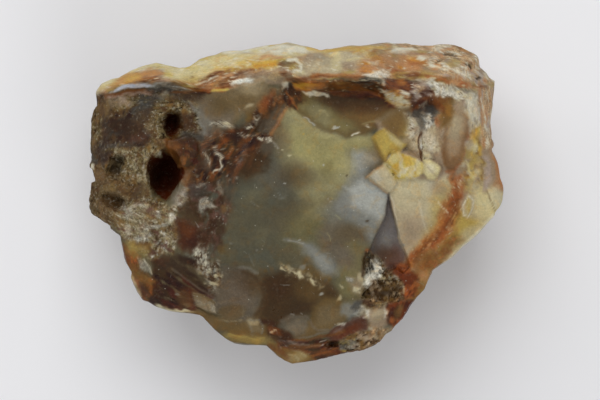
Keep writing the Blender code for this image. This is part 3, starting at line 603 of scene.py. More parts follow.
KNOB = [
    area("vug_rim", (-43, 10.4, -36, 10.8, -28.6, 11.6, -26.6, 10.6, -28, 8, -28.6, 2, -26, 0, -23, -1,
        -33, -4, -38, -6, -43, -1.6), 1, 1, 0.8),
    area("pale_rim", (-36.4, 9.8, -33, 10.6, -29.6, 9.8, -29.4, 6, -29.6, 2, -31.8, 3.6, -34.6, 6), 1.4,
        0.85, 0.8),
    area("grapes", (-43, 6.6, -39.4, 6.4, -37, 4, -35, 2.6, -38.4, -1, -36, -6.4, -39, -5, -43, -2), 1, 1,
        0.6),
    area("dark_block", (-42, 10.4, -36.8, 10.4, -35.8, 8.8, -38.4, 7.6, -42, 8.2), 0.9, 0.85, 0.5),
    spot("bronze", (-39.2, 5.8), (1.1, 1.6), 1, 0.75),
    spot("honey_olive", (-37.4, 3), (1.4, 0.8), 1, 0.5, 20, 0.6),
    # Dark pits in the knob's cleft, hollow and slit: dark stone, with painted shade laid over their sunk
    # shape.
    spot("pit", (-35.8, 7), (1.7, 0.9), 1.3, 0.6, 60, 1.4),
    spot("slate", (-35.4, 6.4), (0.7, 0.9), 1.2, 0.5, 60, 0.9),
    spot("pit", (-36, 0.4), (2.6, 0.9), 1.2, 0.7, -22, 1.4),
    spot("olive_glass", (-36.4, 8.2), (1, 0.6), 1, 0.7, 0, 0.8),
    band("pit", (-36.6, 8.9, -35.2, 8.6, -34.8, 8.1), 0.8, 0.3, 0.6, 0.9),
    area("brown_block", (-35, 2.8, -30, 4, -28.6, 1.4, -31, -0.4, -34, 0.4), 1.8, 0.7, 0.8),
    band("crust", (-38.4, 2.8, -36, 1.9, -33.6, 0.8), 0.7, 0.5, 0.8, 0.8),
    # Painted glint: a small white highlight on the knob's outer edge, in the shell colour.
    spot("shell", (-40.6, 7.4), (0.35, 0.7), 0.5, 0.9, 20),
    area("curly_crust", (-34.6, 0.4, -30.4, 0, -27, -1, -24, 0.8, -22.6, 3.6, -21.2, 4.8, -20.8, 1,
        -23, -2.4, -23.8, -6, -24.4, -10.6, -28, -11.4, -31.8, -9.8, -35, -6.4, -36, -3.4), 1.2, 1, 0.9),
    area("lip", (-23.6, 4.6, -22, 6.8, -20.6, 6.4, -20.4, 4, -22, 3.4), 1.4, 0.7, 0.5),
    area("lilac", (-25.6, 2.2, -23.6, 3.6, -21.6, 3, -21.8, 0.6, -24.4, -0.4), 1.6, 0.35, 0.7),
    spot("chalk", (-32, -1), (1.8, 0.4), 1, 0.5, -10, 1),
    spot("chalk", (-24.6, -2.9), (0.9, 0.6), 0.9, 0.8, 40, 0.9),
    spot("chalk", (-33.8, -5), (0.6, 1), 0.9, 0.5, 20, 0.9),
    band("bark", (-34.8, -6.8, -32.4, -8.2, -29.4, -8.5), 0.4, 0.3, 0.5, 0.8),
    band("pit", (-28.6, -5.8, -26.4, -8.2, -27.6, -9.4), 0.4, 0.8, 0.5),
    spot("bronze", (-30.8, -8.6), (1.8, 1), 1, 0.6, -20, 0.8),
    area("brown_glass", (-21, 4, -15, 4, -13.4, 0, -13.6, -3, -14.6, -8, -17.6, -11, -20.4, -8.4,
        -20.2, -3.4, -22, -1), 2, 0.95, 1),
    area("umber", (-22.4, 0.4, -19.8, -1, -18.6, -3, -21, -3.8, -24, -2.4), 1.6, 0.7, 0.9),
    spot("slate", (-19.4, 2.4), (1.9, 1.6), 1.2, 0.6, 0, 0.9),
    spot("bronze", (-14.4, -0.8), (0.8, 1), 1.2, 0.6, 0, 0.8),
    area("oxblood", (-24, -4.2, -21.6, -3.4, -19.6, -5, -19.4, -8, -22, -9.8, -23.6, -8.8), 2.2, 0.85,
        0.9),
    spot("rust", (-21.9, -5.4), (1, 1.4), 1.4, 0.4, 10, 1),
    spot("near_black", (-20.6, -8), (1.2, 1), 1.4, 0.5, 30, 1),
    spot("lilac", (-19, -4.6), (1, 0.6), 1.4, 0.3, 30, 1),
    spot("dark_rust", (-18, -6.4), (1.8, 3), 1.3, 0.5, 20, 0.9),
    area("bone", (-19.4, 0.6, -18, 1.1, -17, 0.2, -15.6, -0.8, -18, -1, -19.4, -1.9, -19.7, -0.8), 0.5,
        0.9),
]

LOWER_LEFT = [
    area("dark_glass", (-28.6, -11, -24, -10.4, -19.6, -11.4, -16, -14.4, -15.8, -18.4, -20, -21.8,
        -24, -22.4, -30, -20.6, -29.8, -17, -28.6, -14.4), 1, 1, 0.5),
    area("smoke_brown", (-27.8, -10.6, -24, -10.2, -20.8, -12.4, -20, -14.6, -23, -14, -27.4, -12.6), 1.8,
        0.35, 0.9),
    area("smoke", (-20.8, -13.4, -17, -12.8, -15, -17, -16.4, -18.2), 1.6, 0.7, 0.6),
    area("lip", (-23, -17, -20.4, -17.4, -19.4, -18.6, -20.6, -21.6, -23.6, -21.2), 2.2, 0.4, 0.6),
    spot("dark_rust", (-28.4, -17.2), (1.4, 1.8), 1.2, 0.8, 10),
    spot("milk_grey", (-23.6, -18.3), (0.5, 0.3), 0.8, 0.5),
    band("grey_glass", (-24.6, -13.2, -20.6, -16.2, -16.6, -18.7), 0.4, 0.15, 0.5),
    band("smoke_brown", (-25.4, -13.6, -21.2, -16.9, -17.4, -19.2), 0.35, 0.15, 0.4, 0.5),
    area("amber_edge", (-35.6, -7.6, -32, -9.4, -30.6, -11.8, -31.2, -13.4, -29.8, -14.4, -28.2, -15.6,
        -28.8, -18, -29.8, -20.4, -32.6, -18.6, -34, -14.6, -36, -10.6), 1, 1, 0.5),
    area("bronze", (-33, -13.6, -30.6, -13.6, -28.8, -15.2, -29.2, -16.4, -31.6, -16.6), 1.6, 0.7, 0.6),
    spot("honey_olive", (-32.6, -8.6), (1.4, 0.9), 1.2, 0.6, -30),
    spot("dark_rust", (-30.4, -17.4), (1, 1.6), 1.2, 0.7, 20),
    area("bone", (-31.6, -10.9, -30, -11.4, -28.6, -14.3, -31.2, -13.1), 0.45, 0.75, 0.25),
    band("shell", (-30.4, -11.2, -29.3, -12.6, -28.7, -14.2), 0.25, 0.2, 0.35),
    band("straw", (-33.4, -14.6, -32.4, -16.4, -31, -18.4), 0.9, 0.6, 0.7, 0.7),
    band("straw", (-27.4, -20.7, -24, -21.7, -20.6, -22.2), 1, 0.7, 0.6, 0.9),
    area("olive_glass", (-20.8, -17.8, -18.6, -18.2, -16, -19.6, -15.6, -22.1, -17, -21.8, -19.8, -20.8),
        0.5, 0.95, 0.2),
    area("bone", (-17.4, -19.8, -15.8, -20.2, -15.6, -22.1, -17.2, -21.4), 0.9, 0.75, 0.3),
    area("bone", (-20.4, -19.4, -18.4, -19.4, -17.2, -20.8, -19.6, -20.4), 0.9, 0.4),
    area("feathers", (-18.8, -11.6, -15.4, -11.4, -14.8, -14.6, -15.4, -18, -17.2, -17.2, -18.4, -14.6,
        -20.6, -13), 1.4, 0.9, 1),
    area("flecks", (-21, -9, -19.4, -8.6, -18.2, -10.4, -17.4, -12.6, -18.8, -12.8, -20.2, -11.8,
        -21.6, -10.6), 1.4, 0.8, 1),
    area("tea", (-22.4, -22.2, -19, -21.4, -16, -22.4, -15, -24.4, -16.6, -27, -20, -24.6), 1.2, 0.95),
    spot("bronze", (-19, -22.8), (1.8, 0.8), 1.2, 0.5, -30),
]

SCAR = [
    area("tea", (-2.6, 22.4, -1.6, 20.4, 0.4, 18.4, 3, 16.2, 6, 14.4, 10, 13.3, 14, 13.8, 18, 15.6,
        22, 18, 23, 21, 18, 21.8, 10, 22, 2, 23), 1.2),
    area("olive_gold", (-0.6, 20, 2, 17.4, 6.2, 14.8, 10, 13.9, 12.4, 14.6, 9, 17, 7, 20, 3, 21.6), 2.4,
        0.85),
    area("moss_grey", (1.6, 19, 3.4, 16.6, 6, 15, 7.4, 16, 6.4, 18.6, 4, 20.2), 2.2, 0.7),
    area("bronze", (10, 20, 12, 16.8, 15, 15, 19, 16, 22, 18.6, 18.6, 20.8, 13, 21.2), 2.4, 0.7),
    area("dark_rust", (4, 20.6, 8, 18.6, 14, 18, 19, 18.8, 18, 21, 8, 22), 2.6, 0.6),
    area("umber", (2, 22.4, 6, 21, 12, 20.4, 18, 19.6, 18, 21.4, 10, 22.2), 1.6, 0.7),
    area("rust_streaks", (-3.2, 24, 0.6, 23.2, 1.4, 20.6, -1, 18.8, -2.8, 20.4), 1.2, 0.9, 0.6),
    area("lip_glass", (-1.6, 23, 0.8, 22.6, 1.4, 21, 0.2, 19, -1, 19.4, -1.6, 21), 1, 0.9, 0.7),
    band("orange", (-1.9, 22, -0.6, 20.6, 0.4, 18.9), 0.3, 0.3, 0.4, 0.5),
    spot("pale_moss", (5.2, 18), (0.9, 0.5), 0.9, 0.7, 20, 0.7),
    spot("milk", (8, 15), (0.7, 0.3), 0.7, 0.8, 10),
    band("shell", (11.4, 13.8, 12.4, 14, 12.8, 14.2), 0.4, 0.6, 0.4, 0.9),
    band("shell", (14.4, 15.1, 15, 14.8), 0.3, 0.6, 0.35, 0.7),
    band("milk", (1.6, 17, 2.8, 16.3, 3.6, 15.8), 0.3, 0.5, 0.3, 0.8),
    band("moss_grey", (13.4, 15.6, 15.4, 16.2, 17.2, 16.1), 0.35, 0.3, 0.45),
    area("tea", (16, 16.6, 19, 17.6, 22, 16, 22.2, 12.6, 20.4, 12.2, 18, 14.4), 1.4, 0.9),
    area("olive_glass", (20.6, 16.6, 22.2, 17, 22.6, 14, 21.4, 12.6, 20.8, 14), 1.4, 0.6),
    spot("dark_rust", (17.2, 15.7), (1.4, 0.6), 0.9, 0.8, 20),
]

RIM_TOP = [
    area("rim_amber", (-43, 20.6, -36, 22.4, -28, 23.8, -22, 22.4, -13, 22.4, -5, 24.6, 0, 24, 10, 25,
        20, 24.6, 43, 22, 43, 30, 20, 36, -10, 36, -43, 32), 0.8),
    area("rim_cream", (-43, 20.4, -38.6, 22.2, -36, 24.2, -32, 25.8, -28, 27, -24, 26, -24, 29, -32, 30,
        -43, 28), 1.2, 0.95, 0.6),
    spot("bronze", (-31.6, 26.2), (0.3, 0.25), 0.8, 0.8),
    area("copper", (-37.6, 22.6, -33, 24.2, -27, 24.6, -26, 26, -29, 26.8, -34, 25.6), 1.4, 0.9, 0.5),
    area("amber", (-35.6, 23.9, -30, 24.8, -27, 25.8, -29, 26.6, -34, 25.6), 1.6, 0.6, 0.6),
    area("gold", (-34.6, 24, -31, 24.9, -31.2, 25.9, -34, 25.2), 1.2, 0.8, 0.5),
    area("rim_red", (-31, 23.9, -26, 23.9, -22.6, 23.4, -20, 23.8, -22.4, 25.2, -27, 25.4, -30, 25), 1,
        0.8, 0.5),
    area("lilac", (-28.6, 23.6, -24.6, 24.4, -22.4, 23.9, -23.4, 25, -27, 25), 0.9, 0.45, 0.5),
    area("lead_grey", (-37.4, 22, -33, 23, -28, 23.1, -24.6, 23, -22.2, 22.1, -21.2, 22.6, -24.6, 24,
        -30, 24, -36, 22.8), 0.7, 0.95),
    area("slate", (-30, 22.6, -27, 22.4, -24, 22, -22.6, 22.6, -25, 23.4, -28.6, 23.5), 0.8, 0.7, 0.5),
    # Painted glint: a bluish-white highlight along the front edge of the rim's left end.
    area("frost", (-37, 22.1, -35, 22.5, -32.4, 22.9, -29.6, 23.1, -28.4, 23.7, -30.6, 23.9, -33.4, 23.7,
        -35.6, 23), 0.4, 1, 0.25),
    band("milk", (-29, 23.6, -27, 24, -25.4, 24), 0.35, 0.35, 0.4, 0.8),
    band("lip", (-38, 21.5, -36, 22, -33, 22.4, -30, 22.6), 0.4, 0.4, 0.4, 0.7),
    band("bone", (-28.4, 23.2, -26, 23.4, -23.6, 22.8, -21.6, 22.3), 0.3),
    band("lip", (-24.6, 22.3, -22, 22.2, -19.6, 22.4, -17, 22.3), 0.5, 0.4, 0.5, 0.8),
    band("orange", (-20, 22.3, -18, 22.2, -16.6, 22.3), 0.3, 0.4),
    area("rim_cream", (-26.6, 24.8, -21.6, 24.4, -18.6, 25.8, -13.4, 26.6, -12, 30.4, -19.6, 30,
        -22, 27.6, -26, 27), 1.6, 1, 0.5),
    area("olive_cream", (-24.6, 24.6, -19, 24, -16.6, 26, -18.6, 27.4, -23, 26.6), 1.6, 0.6),
    area("honey_olive", (-24.6, 24.2, -20, 23.4, -18.4, 24.6, -21, 25.6), 1.6, 0.5, 0.5),
    band("honey_olive", (-21.6, 27.2, -19.4, 28.8, -15.6, 29.8, -12.6, 30.2), 0.7, 0.3, 0.8, 0.7),
    spot("bronze", (-20.6, 25), (0.4, 0.3), 0.8),
    area("rim_red", (-19.4, 22.8, -12.8, 23.2, -8, 25.2, -5.4, 26.4, -8, 27, -13, 26.4, -19, 24.6), 1.2,
        0.75, 0.6),
    area("fawn", (-12, 25.2, -8, 26.6, -4, 26.8, -2.6, 26.2, -6, 25.2, -9, 24.8), 1.2, 0.8, 0.5),
    area("fawn", (-6.4, 25.2, -3, 25.4, 0.6, 24.9, 0.4, 24.3, -1.8, 24, -2.4, 23.2, -5.6, 23.7), 0.8,
        0.9),
    spot("shell", (-2.3, 23.2), (0.8, 0.5), 0.9, 0.8, 40, 0.8),
    band("brick", (-18.4, 22.5, -16.4, 22.4, -14, 22.5), 0.6, 0.4, 0.6, 0.8),
    band("honey", (-16.6, 22.3, -15, 22.5, -13.4, 22.5), 0.5, 0.25, 0.4, 0.9),
    band("shell", (-19.8, 23.6, -17.2, 24.6, -15.4, 25), 0.3, 0.4, 0.4, 0.7),
    area("stone_grey", (-13, 22.4, -8.6, 23.2, -5.4, 24.4, -6.4, 25.6, -9.4, 25), 0.8, 0.6),
    area("chalk", (-12.8, 23.1, -10.6, 23.4, -8.4, 24, -8.2, 24.9, -10, 25, -12, 24.2), 0.7, 1, 0.6),
    area("rim_gold", (-17, 26.8, -12, 26.6, -8.4, 27, -3.4, 27, -3.6, 28.8, -9, 29.8, -14, 29.8,
        -16.6, 28.8), 1.6, 0.85, 0.6),
    area("rim_cream", (-14.6, 27, -10.4, 27.4, -9, 29, -12, 30, -15, 29.4), 1.4, 0.7, 0.6),
    area("gold", (-8.6, 27.2, -6.4, 27.1, -3.6, 27.3, -3.8, 28.2, -6.4, 28.4, -8.4, 28), 0.6, 0.95),
    band("amber", (-8, 27.5, -6, 27.4, -4.2, 27.6), 0.5, 0.4, 0.6),
    band("olive_cream", (-13, 29.8, -8, 29.6, -3, 29.3, 2, 29.6), 0.9, 0.4, 0.9, 0.8),
    band("copper", (-6.6, 29.2, -4.6, 29.3, -2.8, 29), 0.6, 0.4, 0.6, 0.7),
    area("rim_milk", (-14.8, 29.9, -9, 30.1, -4, 29.6, -1, 29.6, 3, 30, 5, 30.4, 2, 34, -4, 34, -15, 33),
        0.9),
    band("gold", (-5, 31.9, -3.6, 32.2, -2, 32.4), 0.8, 0.3, 0.6, 0.8),
    area("buff", (-5.6, 24.6, -4, 24.2, -2.8, 24.8, -3.4, 26.2, -5.4, 26), 0.6, 0.8),
    area("rim_grey", (-0.6, 25.4, 7, 26, 12.6, 26.6, 14.6, 29.6, 9, 30.6, 2.2, 30), 1.6, 1, 0.5),
    spot("grey_glass", (5.6, 28.4), (2.4, 1.6), 1.4, 0.15),
    spot("olive_glass", (-1.8, 27.6), (1.2, 0.8), 1, 0.8, 20),
    band("shell", (-1.6, 28.5, 0, 28.5, 0.9, 27.6, 1, 26.6), 0.6, 0.3, 0.5, 0.95),
    area("shell", (-0.8, 26.4, 1.2, 26.6, 0.8, 25.9, -0.6, 26), 0.5, 0.9, 0.3),
    band("gold", (2.6, 30.8, 6, 30.6, 10, 30.9, 14, 30.6, 18, 31), 0.8, 0.4, 0.8, 0.8),
    area("rim_gold", (11.6, 29.8, 15, 29.6, 19, 30, 18.6, 31.4, 12, 31.4), 1.4, 0.75, 0.5),
    area("bronze", (14.6, 29.8, 17.4, 29.7, 18.6, 30.5, 16, 30.9), 0.9, 0.5, 0.5),
    area("rim_copper", (12, 25.6, 19, 26, 25, 26, 30, 25.4, 28.4, 29.4, 22, 29.8, 15, 29.4, 12.6, 27.6),
        2.2, 1, 0.5),
    area("gold", (22, 28.6, 25.4, 27.8, 27.6, 27.4, 26, 29, 22.6, 29.4), 1.8, 0.4, 0.5),
    area("tan_crumbs", (17.6, 31.2, 22, 30.8, 27.4, 30.8, 28, 34, 17, 34), 1, 0.95, 0.5),
    area("shell", (18.6, 30.1, 21, 29.9, 24.2, 30.3, 23.4, 31.2, 19.6, 31), 0.8, 0.9, 0.5),
    area("shell", (24, 28.7, 25.4, 28.5, 26.4, 29.2, 24.8, 29.7), 0.6, 0.95),
    spot("shell", (15.2, 28.2), (1, 0.45), 0.9, 0.5, 10, 0.7),
    band("olive_cream", (10.4, 28.2, 12, 28.6, 13.6, 28.6), 0.4, 0.4),
    area("chalk", (13, 25, 16, 24.8, 19.2, 25, 18.4, 26, 15.6, 26.5, 14.4, 26), 0.9, 0.85, 0.8),
    area("tan_crumbs", (26.8, 26.8, 30, 26.2, 34, 25.6, 36.8, 26.8, 38, 30, 33, 33, 27, 33, 26.2, 29.4),
        1, 1, 0.5),
    spot("honey_olive", (31.4, 28), (1.6, 0.7), 1, 0.6, 5),
    spot("shell", (28.4, 31.2), (1.2, 0.5), 0.9, 0.6),
    area("pink_crumbs", (27.6, 25.4, 32, 24.8, 37.6, 23.6, 41, 24, 39.4, 25.6, 34, 26.6, 29, 27.4), 1,
        0.95, 0.5),
    band("shell", (27.4, 27.4, 29.6, 27, 32, 26.4, 34.6, 25.4), 0.5, 0.5, 0.5, 0.8),
    band("shell", (35.4, 26.6, 36.8, 25.4, 38.6, 24.6), 0.4, 0.5, 0.5, 0.7),
    area("underside", (25.6, 25.4, 30, 25.3, 34.4, 24.2, 37.6, 22.8, 37, 21.8, 33, 22.8, 29, 23.9,
        26, 24.4), 1, 0.85, 0.6),
    band("straw", (25, 24.6, 28, 24, 30.6, 23.2, 33, 22.6, 35.4, 22.6), 0.25, 0.5, 0.35),
    band("honey_olive", (35.4, 22.6, 37, 21.8, 37.4, 20.4), 0.5, 0.4, 0.5, 0.7),
    band("pit", (30.1, 29.8, 31.2, 29.8, 32.2, 29.5), 0.4, 0.3, 0.35, 0.95),
    spot("pit", (28.6, 28.4), (0.5, 0.25), 0.6, 0.8, 30, 0.3),
    band("pit", (33.9, 27.8, 34.6, 27.5, 35.1, 27), 0.4, 0.3, 0.35, 0.75),
    spot("pit", (36.5, 25), (0.45, 0.3), 0.7, 0.7, 20, 0.3),
    band("orange", (3.4, 25.2, 6.4, 25.6, 9.7, 25.6, 13, 25.2), 0.6, 0.4, 0.7, 0.65),
    band("rust", (-1.8, 24.6, 2, 24.7, 5.4, 25.3, 9, 25.1, 13.6, 25), 0.5, 0.3, 0.6, 0.7),
    band("rust", (18.8, 25.2, 22, 25.4, 26, 25.2), 0.5, 0.4, 0.6, 0.5),
    area("sooty_chalk", (24.6, 23.8, 27.6, 24.2, 31.6, 23.4, 33.6, 21.8, 31.8, 20.2, 29.6, 20.6,
        28.4, 21.4, 26.4, 22.4), 0.8, 0.95, 0.8),
    area("shell", (25.6, 23.8, 28.4, 23.6, 31, 22.6, 32.6, 21.4, 31.6, 20.6, 29.6, 21.4, 27.4, 22.6), 0.8,
        0.7, 1),
]

UNDER_RIDGE = [
    area("burnt", (-0.6, 24.4, 5, 24.4, 10, 24.6, 15, 24.5, 17.6, 23.6, 18.4, 21, 17, 20.6, 10, 21.4,
        4, 22.2, 0.8, 22.4), 0.7, 1, 0.5),
    area("red_burnt", (6, 22.2, 10, 22.2, 16, 22.2, 18.6, 20.6, 16, 20.4, 10, 21), 1, 0.85, 0.5),
    spot("slate", (14.8, 24), (1.6, 0.5), 1, 0.7, 0, 0.9),
    band("lip", (7, 23.6, 9.6, 23.6, 12.4, 23.2), 0.9, 0.9, 0.9),
    band("straw", (7.4, 24.3, 8.2, 23.6, 9, 23.8), 0.25, 0.9, 0.3),
    band("straw", (11.4, 24.3, 13.4, 24.2, 16, 24.3), 0.25, 0.6, 0.3),
    spot("honey_olive", (9, 23.6), (1, 0.5), 1, 0.4, 0, 0.7),
    area("orange", (-0.8, 24, 2, 24.1, 6.4, 24.2, 5.6, 22.6, 2, 22.4, 0.4, 22.6), 1, 0.9, 0.5),
    area("amber", (-0.4, 23.7, 2, 23.9, 4.4, 23.6, 3.6, 22.7, 1.4, 22.6, 0, 23), 0.7),
    area("gold", (0, 23.6, 2.2, 23.7, 2.8, 23, 1, 22.9), 0.8, 0.8),
    area("lip", (6, 24.2, 10, 24.2, 12, 23.2, 9, 22.4, 5.6, 22.6), 1.6, 0.6, 0.9),
    band("lip", (11.4, 22.9, 12.6, 22.4, 14.4, 22.2), 0.7, 0.5, 0.7, 0.7),
    band("orange", (15.6, 21.6, 17, 21.2, 18.2, 21.6), 0.4, 0.3, 0.5),
    area("shell", (1.2, 22.4, 3, 22.3, 5, 22.2, 6.4, 22.1, 6.6, 21.2, 6.2, 20.9, 5.8, 21.5, 4.6, 21.4,
        3.6, 21.7, 2.4, 21.5, 1.8, 22), 0.35, 0.95, 0.6),
    band("rust", (7, 22.2, 10, 21.9, 14, 21.9, 17, 21.6), 0.5, 0.4, 0.6, 0.7),
    area("red_burnt", (17.2, 24.6, 22.8, 24.4, 24.2, 22, 22.6, 19, 18.2, 18.8, 17.2, 21), 0.9, 0.95, 0.6),
    area("brick", (17.8, 24.2, 21.6, 24.4, 23, 23, 19.4, 23), 1.2, 0.6, 0.5),
    spot("amber", (21, 23.9), (1.2, 0.4), 1.1, 0.5),
    band("shell", (17.2, 24.4, 17.6, 23.4), 0.5, 0.6, 0.5),
    area("peach", (17.2, 22.2, 20.4, 22.6, 22.8, 21.4, 22.9, 19.4, 19.6, 19.3, 18, 20.6), 0.9, 1, 0.7),
    area("rim_cream", (17.6, 21.6, 20.2, 21.7, 22.6, 20.6, 23, 18, 21.4, 18.4, 19.4, 19.8), 0.9, 0.8,
        0.9),
    band("shell", (17, 22.2, 18.6, 21.4, 20.4, 21, 21.8, 20.2), 0.5, 0.9, 0.5, 0.8),
    area("plum_lumps", (22.4, 23.8, 26.8, 23.6, 28.2, 21.4, 27.2, 19.6, 23.8, 19, 22.2, 20.6), 1, 1, 0.7),
    spot("pink_crumbs", (24.6, 22.9), (1.6, 0.8), 1, 0.6, 20, 0.7),
    area("red_burnt", (23.6, 20, 26, 20.6, 28.8, 21.4, 29.4, 18, 28.6, 17, 24, 18.4), 1, 0.9, 0.7),
]

